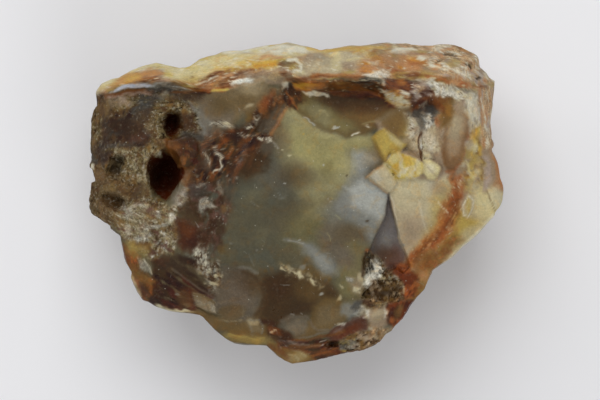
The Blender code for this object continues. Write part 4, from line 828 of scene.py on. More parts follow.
RIGHT_SIDE = [
    area("fawn", (16, 16.4, 22, 19, 28, 18, 36, 22, 44, 24, 44, -4, 28, -18, 20, -14, 17.6, -6, 18.6, 2),
        1.2),
    area("olive_glass", (16.4, 16.6, 19, 18, 23.4, 19.6, 24, 13, 23.4, 9.8, 22, 10.6, 20, 12), 1.4, 0.95,
        0.6),
    spot("honey_olive", (22, 14.4), (1.4, 2.2), 1.2, 0.5, -30, 0.7),
    area("bronze", (17, 16, 20, 18, 22.4, 18.4, 21.6, 15, 20.6, 12.6, 19, 13.6), 2, 0.7, 0.6),
    area("sooty_chalk", (22.2, 18, 25, 17.8, 29, 18.6, 29.2, 13, 28.4, 10, 26.6, 10.6, 23.6, 10.6,
        22.4, 13), 1.6, 0.95, 0.8),
    spot("red_burnt", (25.8, 19.6), (2.6, 1), 0.9, 0.9, 10, 1.2),
    spot("slate", (24.4, 18.4), (1.2, 0.6), 1, 0.8, 10, 1.2),
    spot("bone", (25.8, 19), (0.6, 0.4), 1, 0.6, 0, 1),
    spot("near_black", (26.6, 18.6), (0.5, 0.9), 1, 0.6, 10, 1),
    spot("slate", (25, 16), (0.8, 1.8), 1, 0.8, 10, 0.8),
    spot("slate", (27.2, 17.8), (1.3, 1.5), 1, 0.85, 0, 1),
    spot("brick", (28.3, 15.8), (0.5, 1.1), 1.2, 0.7, -10, 0.9),
    spot("chalk", (26.6, 17), (0.4, 0.7), 1, 0.7, 10, 1),
    spot("fawn", (25.6, 14), (2.6, 1.2), 1.3, 0.5, 0, 1.2),
    area("buff", (21.8, 12.4, 24.4, 13.4, 24.6, 10.4, 22.6, 10.6), 1, 0.6, 0.6),
    area("chalk", (25, 14.8, 27, 14.2, 28, 12, 27, 10.6, 25.4, 11), 1.2, 0.6, 0.9),
    area("lens_brown", (27.8, 14.8, 29.2, 15, 29.4, 10.4, 28.4, 10), 1, 0.6, 0.5),
    area("straw", (19.5, 4, 21, 5, 24, 4.9, 26, 5, 28, 4.6, 30, 5.6, 31.4, 3.6, 30.8, 1, 29, -1, 26, 0.6,
        21, 0.8, 19, 0.6, 18.8, 2), 1.6, 0.9),
    area("cream", (19, 2, 24, 1.6, 30.4, 2, 29.8, 0.2, 28.2, -2.8, 26.4, -6.4, 24.2, -8.8, 22, -10.6,
        21.2, -10, 20.5, -6, 19.8, -3), 2.2),
    area("fawn", (21, -2.2, 24.6, -2, 27, -5.2, 24.8, -8.6, 22, -10.4, 21, -9.6, 20.4, -6), 4.4, 0.8),
    spot("copper", (26.4, -7), (1.8, 1), 1.4, 0.5, 50),
    band("shell", (24.6, 0.4, 25.2, -2, 25.6, -4.6, 26.6, -6.4), 0.3, 0.2, 0.5, 0.45),
    band("shell", (26.6, 3.6, 28.2, 2.2, 29.4, 0.4), 1.2, 0.3, 1.8, 0.4),
    spot("milk_grey", (21.2, -8.4), (0.4, 0.3), 0.8),
    band("shell", (18.5, 1.8, 19.4, 0.2, 19.9, -2.8, 20.5, -6.2, 21.5, -9.8), 0.3, 0.12, 0.4, 0.5),
    area("plum", (18.3, 2.2, 18.9, -0.5, 19.7, -3.5, 20.4, -7, 21.7, -10.4, 21.4, -13, 15.6, -13,
        14.3, -10.4, 15.5, -7.6, 16.7, -5, 17.8, -2.4, 18.1, 0.2), 0.4, 1, 0.12),
    area("plum_brown", (17.4, -8.6, 20.4, -8.4, 21.8, -11, 21.6, -14.6, 16.6, -13.6, 15.8, -10.8), 3,
        0.85),
    spot("milk_grey", (18, -7.2), (1.3, 1.6), 1.4, 0.35),
    band("brick", (14.4, -9.6, 15.6, -11, 16.4, -13), 0.9, 0.4, 0.9, 0.8),
    area("honey_olive", (15, 13, 16.2, 14.2, 17.6, 14.9, 19.4, 13.6, 21, 12.2, 22.2, 11.6, 20.6, 10.2,
        18.4, 9.6, 17.6, 8, 16.4, 10.4), 0.5, 1, 0.12),
    area("honey", (17, 13.6, 19.4, 12.6, 20.4, 11, 18.4, 10.4, 17.6, 9.2, 16.8, 11), 1.6, 0.6),
    area("straw", (17.2, 14.7, 19.4, 13.4, 21.6, 12, 21, 11, 18.8, 12.4), 1, 0.6),
    # Painted shade: a darker strip along the yellow flake's left edge, where its step throws shadow.
    area("bronze", (15, 12.8, 16.2, 10.4, 17.4, 8, 17.8, 9, 16.4, 11.4), 1, 0.5),
    area("stone_grey", (14.1, 5.3, 15.5, 6.4, 17.6, 7.6, 18.6, 5.6, 20, 4, 19.4, 2.4, 18.2, 2, 16.5, 3.3,
        15, 4.3), 0.4, 1, 0.12),
    area("milk", (14.6, 5.3, 16.4, 6.4, 17.2, 5, 16.2, 4), 1.2, 0.5),
    area("straw", (17.2, 6.8, 18.6, 5.4, 19.8, 3.8, 19.2, 2.6, 18.2, 4.2), 1.2, 0.6),
    # Painted shade: darker lines along the grey flake's left and lower edges, where its step throws
    # shadow.
    band("copper", (14.1, 5.2, 15.6, 6.4, 17.5, 7.6), 0.3, 0.15, 0.4, 0.5),
    band("copper", (15, 4.4, 16.6, 3.2, 18.2, 2), 0.3, 0.15, 0.4, 0.5),
    area("honey_chips", (17.7, 8, 18.6, 9.6, 20.4, 10.2, 22.5, 9.4, 24, 8.9, 25.4, 8, 25.2, 6, 23.8, 4.9,
        21.5, 4.7, 19.8, 4.7, 18.5, 6.5), 0.4, 1, 0.15),
    area("olive_cream", (18.2, 8.6, 19.4, 9.9, 21, 10, 20.6, 8.6, 19, 7.6), 0.35, 0.7, 0.15),
    area("gold", (18.7, 7.2, 20.6, 8.2, 20.6, 6.2, 19.6, 5.4), 0.3, 0.7, 0.15),
    area("gold", (21, 9.6, 22.4, 9.2, 23.2, 7.8, 22, 7), 0.3, 0.6, 0.15),
    area("straw", (22.4, 7.2, 23.6, 7.6, 23.4, 5.4, 22.2, 5), 0.3, 0.6, 0.15),
    area("straw", (20.8, 8.2, 21.8, 6.8, 21.4, 5.2, 20.7, 6.2), 0.3, 0.6, 0.15),
    area("olive_cream", (23.6, 8.6, 24.9, 8.1, 25.1, 6.2, 24, 5.2), 0.35, 0.75, 0.15),
    band("bronze", (23.4, 8.6, 23.9, 7, 23.6, 5.2), 0.15, 0.1, 0.25, 0.25),
    band("olive_cream", (17.6, 7.8, 18.6, 6.2, 19.8, 4.6, 21.8, 4.6), 0.6, 0.15, 0.6, 0.75),
    band("straw", (18, 7.8, 19.2, 6.9, 20.4, 6), 0.3, 0.1),
    band("straw", (20.4, 10.1, 21, 8.6, 21.2, 6.6), 0.35, 0.1),
    band("bronze", (22.6, 9.2, 22.8, 7.6, 22.4, 6.2), 0.15, 0.1, 0.3, 0.3),
    area("olive_cream", (25.3, 8.8, 27, 8.6, 28.8, 7, 28.3, 5.4, 27.6, 4.6, 26.4, 4.8, 25.2, 6.2), 0.5, 1,
        0.15),
    area("shell", (26, 8, 27.4, 7.6, 27.8, 6.4, 26.4, 6.2), 1, 0.6),
    band("fawn", (25.4, 8.2, 26.6, 6.8, 27.9, 5.4), 0.3, 0.1, 0.4, 0.4),
    area("straw", (24.6, 10.4, 26.6, 10, 27.3, 8.9, 25.3, 8.9), 0.5, 0.85, 0.15),
    area("lens", (22.8, 9.2, 23.2, 10.5, 24.4, 10.4, 24.4, 9, 23.6, 8.9), 0.5, 0.8, 0.15),
    band("void", (24.7, 14.2, 24.5, 12.4, 24.6, 10.6, 25.1, 8.9), 0.3, 0.3, 0.35, 0.9),
    area("lens_brown", (30, 19.4, 29.6, 14, 28.9, 10, 29.2, 7.8, 30.5, 6.2, 31.8, 6.4, 33.2, 8, 33.8, 11,
        34.2, 14, 34.2, 19), 0.7),
    area("lens", (30, 18.6, 29.9, 14, 29.7, 11, 30.8, 9, 32.4, 9.6, 33.2, 12.4, 33.6, 15, 33.4, 18.6),
        1.8, 0.95),
    spot("stone_grey", (31.6, 15.4), (1.3, 3)),
    band("brick", (30, 6.3, 31.4, 6.3, 33, 7.9, 33.9, 10.4, 34.4, 13.4), 0.5, 0.2, 0.6),
    area("frosted", (30.6, 21, 35, 22.4, 38, 21.6, 37, 16, 35, 14.2, 34.2, 18, 31.4, 18.8), 1.4, 0.95,
        0.7),
    spot("shell", (34.8, 18.4), (1.6, 3), 1.3, 0.6, 5, 1.2),
    area("lens", (31, 21.2, 33.4, 20.8, 33.6, 17.4, 31.2, 17.8), 1.4, 0.7, 0.5),
    area("bronze", (28.4, 20.8, 31, 20.2, 31.2, 18.2, 30.2, 15, 28.6, 14.8), 1.4, 0.95, 0.7),
    spot("lip", (28.6, 20.6), (1.4, 1.4), 1.2, 0.8, 0, 0.8),
    spot("rust", (28.4, 19.2), (0.8, 1.4), 1.1, 0.7, 0, 0.8),
    spot("amber", (30.2, 18.4), (0.5, 1.2), 1.2, 0.5, 0, 0.6),
    area("moss_honey", (33.6, 9, 34, 5.6, 33.6, 3, 35, 1.4, 37.4, 1.2, 37.6, 8.4, 36, 9.6), 1.8, 0.95,
        0.9),
    area("fawn", (33.8, 9.6, 35.4, 9, 34.6, 6.4, 33.6, 5.4), 1.4, 0.7, 0.8),
    band("olive_cream", (34.4, 7.6, 35, 6, 35.6, 4.4), 0.6, 0.5, 0.6, 0.7),
    band("shell", (33.4, 6.8, 34.4, 8.8, 35.6, 10), 0.3, 0.7, 0.4, 0.5),
    band("bronze", (37.2, 9, 37.4, 6, 37, 3.4), 0.3),
    area("cream", (34.4, 4, 37, 3.8, 37.6, 0, 35.4, -0.6), 2.2, 0.8),
    spot("stone_grey", (36.4, 6.6), (0.8, 1.8), 1.3, 0.5),
    area("moss_honey", (33.8, 9.8, 35.6, 9, 37.2, 9.6, 38, 14, 37.6, 16.6, 35.6, 14.4, 34.2, 12.4), 1.6,
        0.9, 0.9),
    area("straw", (34.6, 10.6, 36, 10.2, 36.4, 12.6, 35.4, 13.4), 0.9, 0.7, 0.7),
    spot("gold", (35.8, 13), (0.7, 1), 1.2, 0.6, -20, 0.8),
    spot("gold", (37.3, 16.4), (0.5, 1.6), 1.2, 0.6, -10, 0.8),
    spot("lilac", (34.8, 11.8), (0.7, 1.6), 1, 0.5, -10, 0.7),
    area("honey_olive", (31.6, 1, 34, -2.4, 37, -3.4, 41, -0.8, 39.4, -3.8, 35, -8.4, 32.8, -10, 29, -13,
        28, -9.4, 30.6, -5), 1.8),
    area("olive_cream", (35, -2.4, 35.6, 0.4, 37.2, 3.8, 40, 3.4, 43, 0.6, 41, -2, 38.4, -4), 2.4, 0.8),
    area("cream", (33.6, -5.6, 38.6, -2.6, 40.4, -3.6, 34, -9.4, 29.6, -13.4, 28.6, -11), 1.8, 0.75),
    area("honey_olive", (28, 3, 31, 4, 32, -4, 27, -10.6, 22, -13, 25, -8, 27, -4), 3.4, 0.6, 0.6),
    area("brick_vein", (30.9, 5.6, 32.4, 4.6, 34.2, 5, 33.6, 1.8, 32.6, -1.8, 31.4, -5, 28.6, -8.8,
        24.8, -11.6, 22.4, -14.2, 20.6, -13, 23, -10.4, 26.2, -7, 28.4, -4.4, 29.6, -1.6, 30.6, 1.6), 2.2,
        0.95, 0.8),
    band("rust", (32.4, 3, 31.4, 0.4, 30.8, -2.4, 29.4, -5, 27.6, -7.4), 1.1, 0.6, 1.6, 0.5),
    band("orange", (30, 0, 29.4, -3.4, 27.4, -6.6, 25, -9), 0.8, 0.6, 1.6, 0.4),
    band("shell", (32.5, 3.2, 33.2, 4.2, 33.9, 5), 0.3, 0.5, 0.35),
    band("shell", (28.6, 0.3, 29.6, -0.6, 30.6, -2), 0.25, 0.5, 0.3),
    band("shell", (28.8, -1.4, 30.2, -1.7), 0.2, 0.3, 0.25, 0.5),
    area("stone_grey", (34.5, 1.7, 35.6, 0.6, 35.3, -1.2, 34.3, -3, 33.2, -2.6, 33.1, -0.5), 0.5, 0.7,
        0.15),
    area("honey_olive", (34.5, 1.1, 35.1, 0.4, 34.9, -1, 34.2, -2.4, 33.7, -1.4), 0.7, 0.8),
    band("shell", (34.6, 1.4, 35.5, 0.5, 35.2, -1, 34.4, -2.8, 33.4, -2.4, 33.3, -0.5, 34.6, 1.4), 0.2,
        0.1, 0.3, 0.7),
    band("straw", (34.8, 0.6, 34.2, -0.6, 34.2, -2.2), 0.15, 0.1, 0.25),
    area("fawn", (37.2, 2, 38, 5.6, 37.6, 10.6, 39, 10.8, 39.4, 6, 39, 2), 1.2, 0.8, 0.6),
    area("lilac", (37.5, 2.6, 37.9, 5.6, 37.6, 9.6, 38.4, 9.4, 38.8, 6, 38.6, 2.8), 0.8, 0.8),
    area("copper", (39.3, 2.6, 39.8, 6, 39, 10.8, 42, 11, 43, 5, 42, 2), 1, 0.8, 0.5),
    band("orange", (41, 3, 40.6, 6, 39.8, 8.8), 0.9, 0.5, 1, 0.7),
    area("straw", (38.6, 2.6, 40.4, 3.4, 41.8, 1, 40.4, -1.4, 38.8, 0), 1.4, 0.8, 0.5),
    band("tea", (38.3, 2.4, 39, 0.4, 39.9, -1.6), 0.25, 0.25, 0.35),
    area("stripes", (35.8, 23, 41, 23, 40.4, 17, 40, 11, 37.2, 11, 36.8, 16), 1, 0.95, 0.5),
    band("copper", (38.9, 22, 39.1, 18, 38.9, 14), 0.4, 0.4, 0.6, 0.5),
    area("sooty_chalk", (26, 23.9, 28.4, 23.9, 31.2, 22.9, 34, 21.2, 32.4, 20.2, 30.4, 20.5, 28.8, 21.2,
        27, 22.3), 0.7, 0.9, 0.7),
    area("chalk", (27, 23.4, 29, 23, 31.4, 21.9, 32.6, 20.9, 30.8, 20.8, 29.2, 21.5), 0.8, 0.7, 0.8),
    band("straw", (40, -2.6, 36.4, -6, 33, -9, 29.6, -12.4), 0.9, 0.4, 1),
    band("shell", (40.2, -2.2, 36.4, -6, 33.2, -9, 30.2, -11.6, 28, -13.6), 0.7, 0.3, 0.8, 0.8),
    area("honey_olive", (29, -11.4, 27.2, -13.2, 26.8, -15.4, 26, -18, 24, -20, 22.6, -18.6, 23.6, -15,
        24.6, -12.4, 27, -9.6), 1.4, 0.75, 0.5),
    area("amber_edge", (32.2, -5.4, 29.6, -7.6, 28, -9.4, 26, -10.6, 24.6, -13, 23.2, -16, 22.8, -19.6,
        24.6, -19, 27, -15, 29.6, -11.4, 33, -7.6), 1.8, 0.75, 0.7),
    spot("copper", (25.4, -14.4), (1.2, 1.8), 1.2, 0.7, 30, 0.6),
]

LOWER_RIGHT = [
    area("red_glass", (19, -12.4, 22.4, -12.4, 24.6, -15, 23.4, -19, 21.6, -19.6, 20.2, -16), 1.4, 1,
        0.7),
    area("sooty_crust", (13.8, -10.2, 15, -9.8, 17.4, -11.6, 19.2, -13.8, 21.4, -16.6, 21, -20.4, 17, -21,
        13.2, -20.4, 12, -18.6, 13.2, -14.6), 1.2, 1, 0.8),
    area("lace", (13, -13.6, 15.2, -11, 16.6, -11.4, 17.4, -13.2, 16.6, -16.4, 14.4, -17.4, 12.8, -16),
        0.9, 1, 0.7),
    spot("chalk", (15.6, -12.2), (0.6, 1.1), 1.1, 0.8, -20, 1),
    spot("chalk", (15, -15.6), (1.7, 1.7), 1.2, 0.75, 0, 1.4),
    area("olive_gold", (9, -12.6, 12.6, -12.4, 13.6, -14, 13, -18.4, 10.4, -19.8, 8, -19, 8.2, -15.4),
        2.8, 0.75, 0.9),
    area("fawn", (11, -14.6, 13, -13.4, 13.2, -16.8, 12.4, -18.6, 10.8, -18), 1.6, 0.7, 0.9),
    area("bone", (10, -14.6, 11.4, -14.8, 11.2, -15.9, 10, -15.4), 0.5, 0.95),
    area("straw", (11.4, -16.6, 12.8, -16.8, 12.6, -18.2, 11.3, -17.8), 0.6, 0.8),
    spot("cream", (12.6, -14.4), (0.6, 0.9), 1, 0.7, -10, 0.9),
    spot("straw", (9, -16.8), (0.3, 0.5), 1, 0.5, 30, 0.6),
    spot("straw", (8.4, -19), (0.3, 0.6), 1, 0.6, -20, 0.6),
    band("umber", (14.2, -10, 13.7, -12, 13.4, -14.2), 0.6, 0.4, 0.6, 0.85),
    area("foot_crumbs", (15.4, -16, 21.2, -16.4, 21.6, -20.6, 17, -20.4, 13.4, -20), 1.2, 0.85, 0.9),
    spot("umber", (18.6, -18.2), (2.2, 0.8), 1.1, 0.7, 10, 1.2),
    spot("pit", (13.7, -18.3), (1.2, 0.5), 1.1, 0.8, 15, 1.4),
    spot("pit", (17, -16.4), (0.9, 0.5), 0.8, 0.8, -20),
    spot("dark_rust", (14, -20), (1.6, 0.5), 0.9, 0.7, -10),
    area("milk_grey", (9.2, -20, 12.4, -19.6, 13, -22, 10.6, -23.2, 9, -22), 1.4, 0.85, 0.6),
    spot("slate", (12, -20.8), (0.9, 1.2), 1, 0.7, -20, 0.6),
    spot("chalk", (9, -24), (1, 0.5), 0.9, 0.7, 20, 0.7),
    area("chalk", (12.8, -21.2, 14.4, -20.8, 15.2, -22, 15, -23.4, 13.8, -22.8), 1, 0.9, 1.2),
    area("straw", (15, -21.6, 18, -20.9, 18.2, -22.4, 16.8, -24.4, 15.6, -24), 1.2, 0.6, 0.6),
    area("fawn", (14.4, -21, 18.2, -21, 19, -24, 17, -25.4, 14.4, -24.4, 14.4, -22.8), 1.4, 0.95, 0.6),
    spot("cream", (16.4, -22.4), (1.4, 1), 1.2, 0.5, 20, 0.6),
    spot("chalk", (18.2, -22), (0.5, 1), 1, 0.6, 10),
    area("red_glass", (18.4, -20.4, 21, -19.4, 24, -19.8, 22, -23.8, 20, -26, 18.6, -23.6), 1.2, 0.95,
        0.6),
    spot("tea", (20.6, -21.8), (0.7, 1.6), 1, 0.7, -20),
    band("straw", (21.4, -16.8, 21.8, -18.2), 0.4),
    area("tan_crumbs", (14, -24.2, 18, -25, 20.8, -25, 18, -28, 14.4, -27.4), 1.2, 0.5, 0.7),
    area("chip_cluster", (-3.4, -12.2, -1, -12.6, 2.4, -14, 5.6, -16.4, 5, -17, 2, -15.8, -1.6, -14.8),
        0.9, 0.55, 0.9),
    spot("straw", (-2.4, -13.3), (0.9, 0.25), 0.9, 0.7, -20, 1),
    spot("straw", (0.4, -14.2), (1.2, 0.4), 1, 0.8, -35, 1.2),
    spot("cream", (-0.8, -13.6), (0.7, 0.25), 1, 0.6, -10, 1),
    spot("milk_grey", (1.2, -12.5), (1.1, 0.5), 1, 0.7, 10, 0.9),
    spot("straw", (3.4, -15.8), (0.7, 0.25), 0.8, 0.75, -40),
    spot("milk", (5.3, -18.1), (0.5, 0.3), 0.8, 0.75, 10, 0.4),
]

# Broad soft shifts of tone over the patches before them.
TONE_SHIFTS = [
    spot("umber", (-9.4, -15.8), (3, 1.9), 1.4, 0.5, -35),
    spot("bark", (-12, -18), (4.6, 4.6), 1.4, 0.25),
    spot("honey_olive", (-8, -27.2), (4, 0.9), 1.3, 0.35, -4),
    spot("straw", (0.2, -31), (2.2, 0.9), 1.3, 0.3, 10),
    spot("fawn", (0.2, -24.8), (2.2, 1.3), 1.3, 0.35),
    spot("milk_grey", (8, -2), (2.8, 2.2), 1.5, 0.6),
    spot("pale_moss", (10, 7.2), (2, 2.6), 1.5, 0.6),
    spot("umber", (17, -10.2), (2.2, 1.6), 1.4, 0.4),
    spot("bone", (12.4, -22), (1.2, 0.9), 1, 0.6, 20, 0.9),
    spot("lip", (25.2, -12), (2.4, 1.7), 1.4, 0.6, 45),
    spot("bark", (-38.2, 1.8), (3, 5.6), 1.3, 0.5),
    spot("bark", (-34.2, 3.2), (2.2, 2), 1.3, 0.45),
    spot("bark", (-30.4, 16.2), (2.2, 2.4), 1.2, 0.5),
    spot("honey_olive", (-31.2, -9.8), (1.8, 1.5), 1.2, 0.4),
    spot("crust", (-31.4, -3.2), (2.8, 2.2), 1.3, 0.45),
    spot("buff", (27, 12.8), (1.7, 2.2), 1.2, 0.5),
    spot("fawn", (24, 15.4), (1.2, 1.8), 1.3, 0.35),
    spot("olive_cream", (-16.2, 28.4), (2.6, 1.2), 1.3, 0.6, 10),
    spot("fawn", (28.4, 3), (2, 1.5), 1.4, 0.6, -20),
    spot("brick", (-6, 20), (0.9, 1.5), 1.3, 0.5, -20),
]

# Scratches, chips and specks on the glass, each a short pale or dark mark.
SMALL_MARKS = [
    band("pale_moss", (7, 1.1, 7.6, 0.7, 8.2, 0.7), 0.2, 0.1, 0.25),
    band("milk", (6.4, 0.9, 6.9, 0.3, 7.8, 0.4), 0.15, 0.1, 0.2),
    band("pale_moss", (8, -2.4, 8.5, -2.9, 9, -3.3), 0.2, 0.1, 0.25),
    band("pale_moss", (6.2, -6, 6.7, -6.6, 6.9, -7.5), 0.15, 0.1, 0.25),
    band("milk_grey", (-3.6, 1.9, -2.8, 1.5, -1.8, 1.5), 0.15, 0.1, 0.25),
    band("milk_grey", (-4, 1.2, -3, 0.9, -2, 1.2), 0.15, 0.1, 0.25, 0.5),
    band("milk_grey", (-9, 0.4, -8.2, -0.4, -7.2, -0.8), 0.15, 0.1, 0.25, 0.5),
    band("milk_grey", (12.4, -3.1, 13.2, -3.3, 14, -3.1), 0.15, 0.1, 0.25, 0.7),
    spot("umber", (14, -3.6), (0.25, 0.3), 0.7, 0.8),
    spot("milk", (-2, 4.1), (0.26, 0.18), 0.7, 0.8),
    spot("milk", (5.3, 7.6), (0.25, 0.2), 0.7),
    spot("umber", (10.6, 5.9), (0.25, 0.2), 0.7, 0.9, 20),
    spot("straw", (-1.2, 9.4), (0.35, 0.2), 0.7),
    spot("straw", (-2.4, 10.4), (0.3, 0.2), 0.7),
    spot("gold", (1.3, 13.8), (0.3, 0.2), 0.8, 0.5),
    spot("milk", (0.5, -7.2), (0.25, 0.2), 0.7),
    band("milk", (-1.6, -7.4, 0.4, -7.7, 1.6, -8.2), 0.2, 0.15, 0.3, 0.5),
    band("milk_grey", (-9.6, -10, -8.8, -11.8, -8.4, -12.6), 0.2, 0.2, 0.3, 0.35),
    spot("milk_grey", (-8, -9.4), (0.3, 0.2), 0.7, 0.5, 40),
    spot("milk_grey", (-13, -8.2), (0.3, 0.15), 0.7, 0.5, -40),
    spot("shell", (-7.6, 17.2), (0.8, 0.25), 0.8, 0.6, 20, 0.8),
    spot("shell", (-9.3, 15.3), (0.5, 0.25), 0.8, 0.7, 30, 0.6),
    band("flecks", (-16.8, 15.6, -14.8, 15.9, -13.2, 15.4), 1.1, 0.9, 0.9, 0.75),
    spot("straw", (-14, 15.8), (0.6, 0.3), 0.9, 0.8, 10, 0.8),
    area("flecks", (-8.6, 13.6, -6.6, 13.4, -4.8, 13, -4.4, 12.2, -5, 12, -6.6, 12.5), 0.5, 0.95, 0.6),
    band("bone", (-5, 12.6, -4.2, 11.8, -3.4, 10.8), 0.35, 0.3, 0.4, 0.8),
    band("flecks", (-11.6, 14, -10.2, 13.4, -8.6, 13.3), 0.35, 0.7),
    spot("bone", (-7.4, 16.8), (0.9, 0.5), 1.2, 0.5, 20, 1.2),
    band("flecks", (-17.8, 10.2, -17.4, 9, -17.5, 7.8), 0.6, 0.7, 0.6, 0.7),
    band("flecks", (-15.9, 11.2, -15.6, 9.8, -14.9, 9.2), 0.5, 0.6, 0.5, 0.85),
    band("shell", (-15, 9.4, -14.5, 8.4, -14.4, 7.4, -15.2, 6.5, -16.4, 6.2), 0.4, 0.6, 0.45, 0.85),
    area("stone_grey", (-10.4, 18.8, -9.4, 19.8, -8.2, 19.9, -8.8, 19.2), 0.4, 0.7, 0.15),
    spot("crust", (-29.9, 5), (0.5, 0.8), 0.7, 0.5, 20, 0.4),
    spot("bone", (-15.2, 3.4), (0.6, 0.9), 0.9, 0.5, 20, 0.8),
    spot("bone", (-19, 3.4), (0.8, 0.4), 0.9, 0.5, 30, 0.8),
    spot("bone", (-11.8, 5), (0.4, 0.3), 0.8, 0.5, 0, 0.4),
    spot("bone", (-14.8, 2.2), (0.4, 0.5), 0.8, 0.4, 0, 0.4),
]

INSIDE_HOLLOWS = [
    area("void", (-26.2, 15.8, -25.8, 14, -25, 13.1, -23.6, 14, -23, 15, -23.2, 16.5, -24, 17.5,
        -25.5, 17.9), 0.8, 1, 0.5),
    spot("dark_rust", (-23.8, 16.2), (0.8, 1.5), 1, 0.6, -10, 0.4),
    area("void", (-29.5, 8, -28, 9.3, -27, 9.2, -26.4, 10.3, -25.2, 9.4, -24.6, 8.1, -24, 7.1, -22.6, 6.7,
        -22, 5.8, -22.4, 4.8, -23.5, 4, -25, 2.4, -26, 1, -27.8, 2, -29, 4, -29.4, 6), 0.8, 1, 0.5),
    spot("pit", (-28.4, 6), (1, 2.6), 1.2, 0.5, 10),
    spot("crust", (-27.4, 9.7), (0.8, 0.75), 0.6, 0.9, 20, 0.3),
    spot("shell", (-27.2, 9.9), (0.35, 0.3), 0.8, 0.8, 20, 0.1),
]

FACE_PAINT = (GLASSY_FACE + FOOT + RUST_ZONE + LEFT_BLOCK + KNOB + LOWER_LEFT + SCAR + RIM_TOP
              + UNDER_RIDGE + RIGHT_SIDE + LOWER_RIGHT + TONE_SHIFTS + SMALL_MARKS + INSIDE_HOLLOWS)

# The finishes that have round bumps, with how much of their full height.
BUMPS = {"crust": 0.15, "earth": 0.35, "druse": 1, "bark": 0.1}

# How far a finish lies below the surface round it, in millimetres.
SINKS = {"pit": 0.55, "void": 0.4, "bark": 0.2, "oxblood": 0.08, "chalk": -0.12, "shell": -0.05,
         "crust": -0.04, "dark_rust": 0.05}

# The sides, which the face's patches don't reach: middle of each in degrees, half its width,
# and its finish, with that of the back.
SIDES = [
    (90, 55, "cortex"), (35, 40, "tan_side"), (-15, 40, "honey_side"),
    (-62, 36, "red_side"), (-110, 40, "umber_side"), (-150, 36, "brown_block"),
    (172, 40, "vug_rim"), (135, 30, "rim_side"),
]
BACK = "back"
BLOTCH_EDGE = 0.8

# Tints that multiply the colour in warm and cool clouds and in the gaps of a crust, and the
# colours of pale crumbs, scratches and flecks.
WARM_TINT = (1.2, 0.98, 0.70)
COOL_TINT = (0.84, 0.96, 1.12)
GAP_TINT = (0.34, 0.26, 0.19)
CRUMB_COLOUR = (0.60, 0.55, 0.44, 1)
SCRATCH_COLOUR = (0.42, 0.40, 0.34, 1)
FLECK_COLOUR = (0.50, 0.47, 0.38, 1)
CHALCEDONY_IOR = 1.54


def smooth_step(value):
    """0 below 0 and 1 above 1, with the curve 3v^2 - 2v^3 between."""
    value = np.clip(value, 0.0, 1.0)
    return value * value * (3.0 - 2.0 * value)


def soft_min(first, second, width):
    """The lower of two heights, with the corner between them rounded over width."""
    share = np.clip(0.5 + 0.5 * (second - first) / width, 0.0, 1.0)
    return second + (first - second) * share - width * share * (1.0 - share)


def line_distance(line, x, y):
    """Distance from each point to the nearest of a line's straight stretches."""
    corners = np.array(line, float)
    nearest = np.full(x.shape, np.inf)
    for (ax, ay), (bx, by) in zip(corners[:-1], corners[1:]):
        run_x, run_y = bx - ax, by - ay
        share = ((x - ax) * run_x + (y - ay) * run_y) / (run_x**2 + run_y**2)
        share = np.clip(share, 0.0, 1.0)
        nearest = np.minimum(nearest, np.hypot(x - ax - share * run_x, y - ay - share * run_y))
    return nearest


def inside_distance(outline, x, y):
    """Distance from each point to a closed outline, above 0 inside it and below 0 outside."""
    corners = np.array(list(outline) + [outline[0]], float)
    inside = np.zeros(x.shape, bool)
    for (ax, ay), (bx, by) in zip(corners[:-1], corners[1:]):
        if ay != by:
            inside ^= ((ay > y) != (by > y)) & (x < ax + (y - ay) * (bx - ax) / (by - ay))
    nearest = line_distance(corners, x, y)
    return np.where(inside, nearest, -nearest)


def oval_radius(middle, halves, turn, x, y):
    """0 in the middle of a turned oval and 1 on its edge."""
    cosine, sine = np.cos(np.radians(turn)), np.sin(np.radians(turn))
    along = (cosine * (x - middle[0]) + sine * (y - middle[1])) / halves[0]
    across = (cosine * (y - middle[1]) - sine * (x - middle[0])) / halves[1]
    return np.hypot(along, across)


def lattice_value(cell, seed):
    """A random value from -1 to 1 for each cell of a lattice, from its three whole numbers."""
    key = cell @ np.array([73856093, 19349663, 83492791]) + seed * 15485863
    key = (key ^ (key >> 13)) * 1274126177
    return ((key ^ (key >> 16)) & 0xFFFF) / 32767.5 - 1.0


def lattice_noise(points, size, seed):
    """Smooth random values from -1 to 1: random numbers on a lattice of this size, blended."""
    cell = points / size
    low = np.floor(cell).astype(np.int64)
    share = smooth_step(cell - low)
    total = np.zeros(len(points))
    for corner in np.ndindex(2, 2, 2):
        weight = np.prod(np.where(corner, share, 1.0 - share), axis=1)
        total += lattice_value(low + corner, seed) * weight
    return total


def layered_noise(points, size, seed):
    """Noise of one size with half as much of half the size, and a quarter of a quarter."""
    return (lattice_noise(points, size, seed) + 0.5 * lattice_noise(points, size / 2, seed + 1)
            + 0.25 * lattice_noise(points, size / 4, seed + 2))


def round_bumps(points, size, seed):
    """Half balls round jittered lattice points: height 1 in a ball's middle and 0 between balls."""
    cell = points / size
    low = np.floor(cell).astype(np.int64)
    height = np.zeros(len(points))
    for near in np.ndindex(3, 3, 3):
        key = low + near - 1
        jitter = np.column_stack([lattice_value(key, seed + part) for part in range(3)])
        gap = np.sum((cell - key - 0.5 - BALL_JITTER * jitter) ** 2, axis=1)
        height = np.maximum(height, np.sqrt(np.clip(1.0 - gap / BALL_REACH, 0.0, 1.0)))
    return height


def equal_area(share, cap):
    """How far out on a disc a ring lies, so that the ball's cap covers the disc evenly."""
    return np.sin(share * cap * np.pi / 2.0) / np.sin(cap * np.pi / 2.0)


def edge_radius(turn):
    """Distance from the axis to the outline at each angle, straight between its points."""
    points = np.array(OUTLINE)
    angles = np.arctan2(points[:, 1], points[:, 0])
    order = np.argsort(angles)
    return np.interp(turn, angles[order], np.hypot(*points.T)[order], period=2.0 * np.pi)


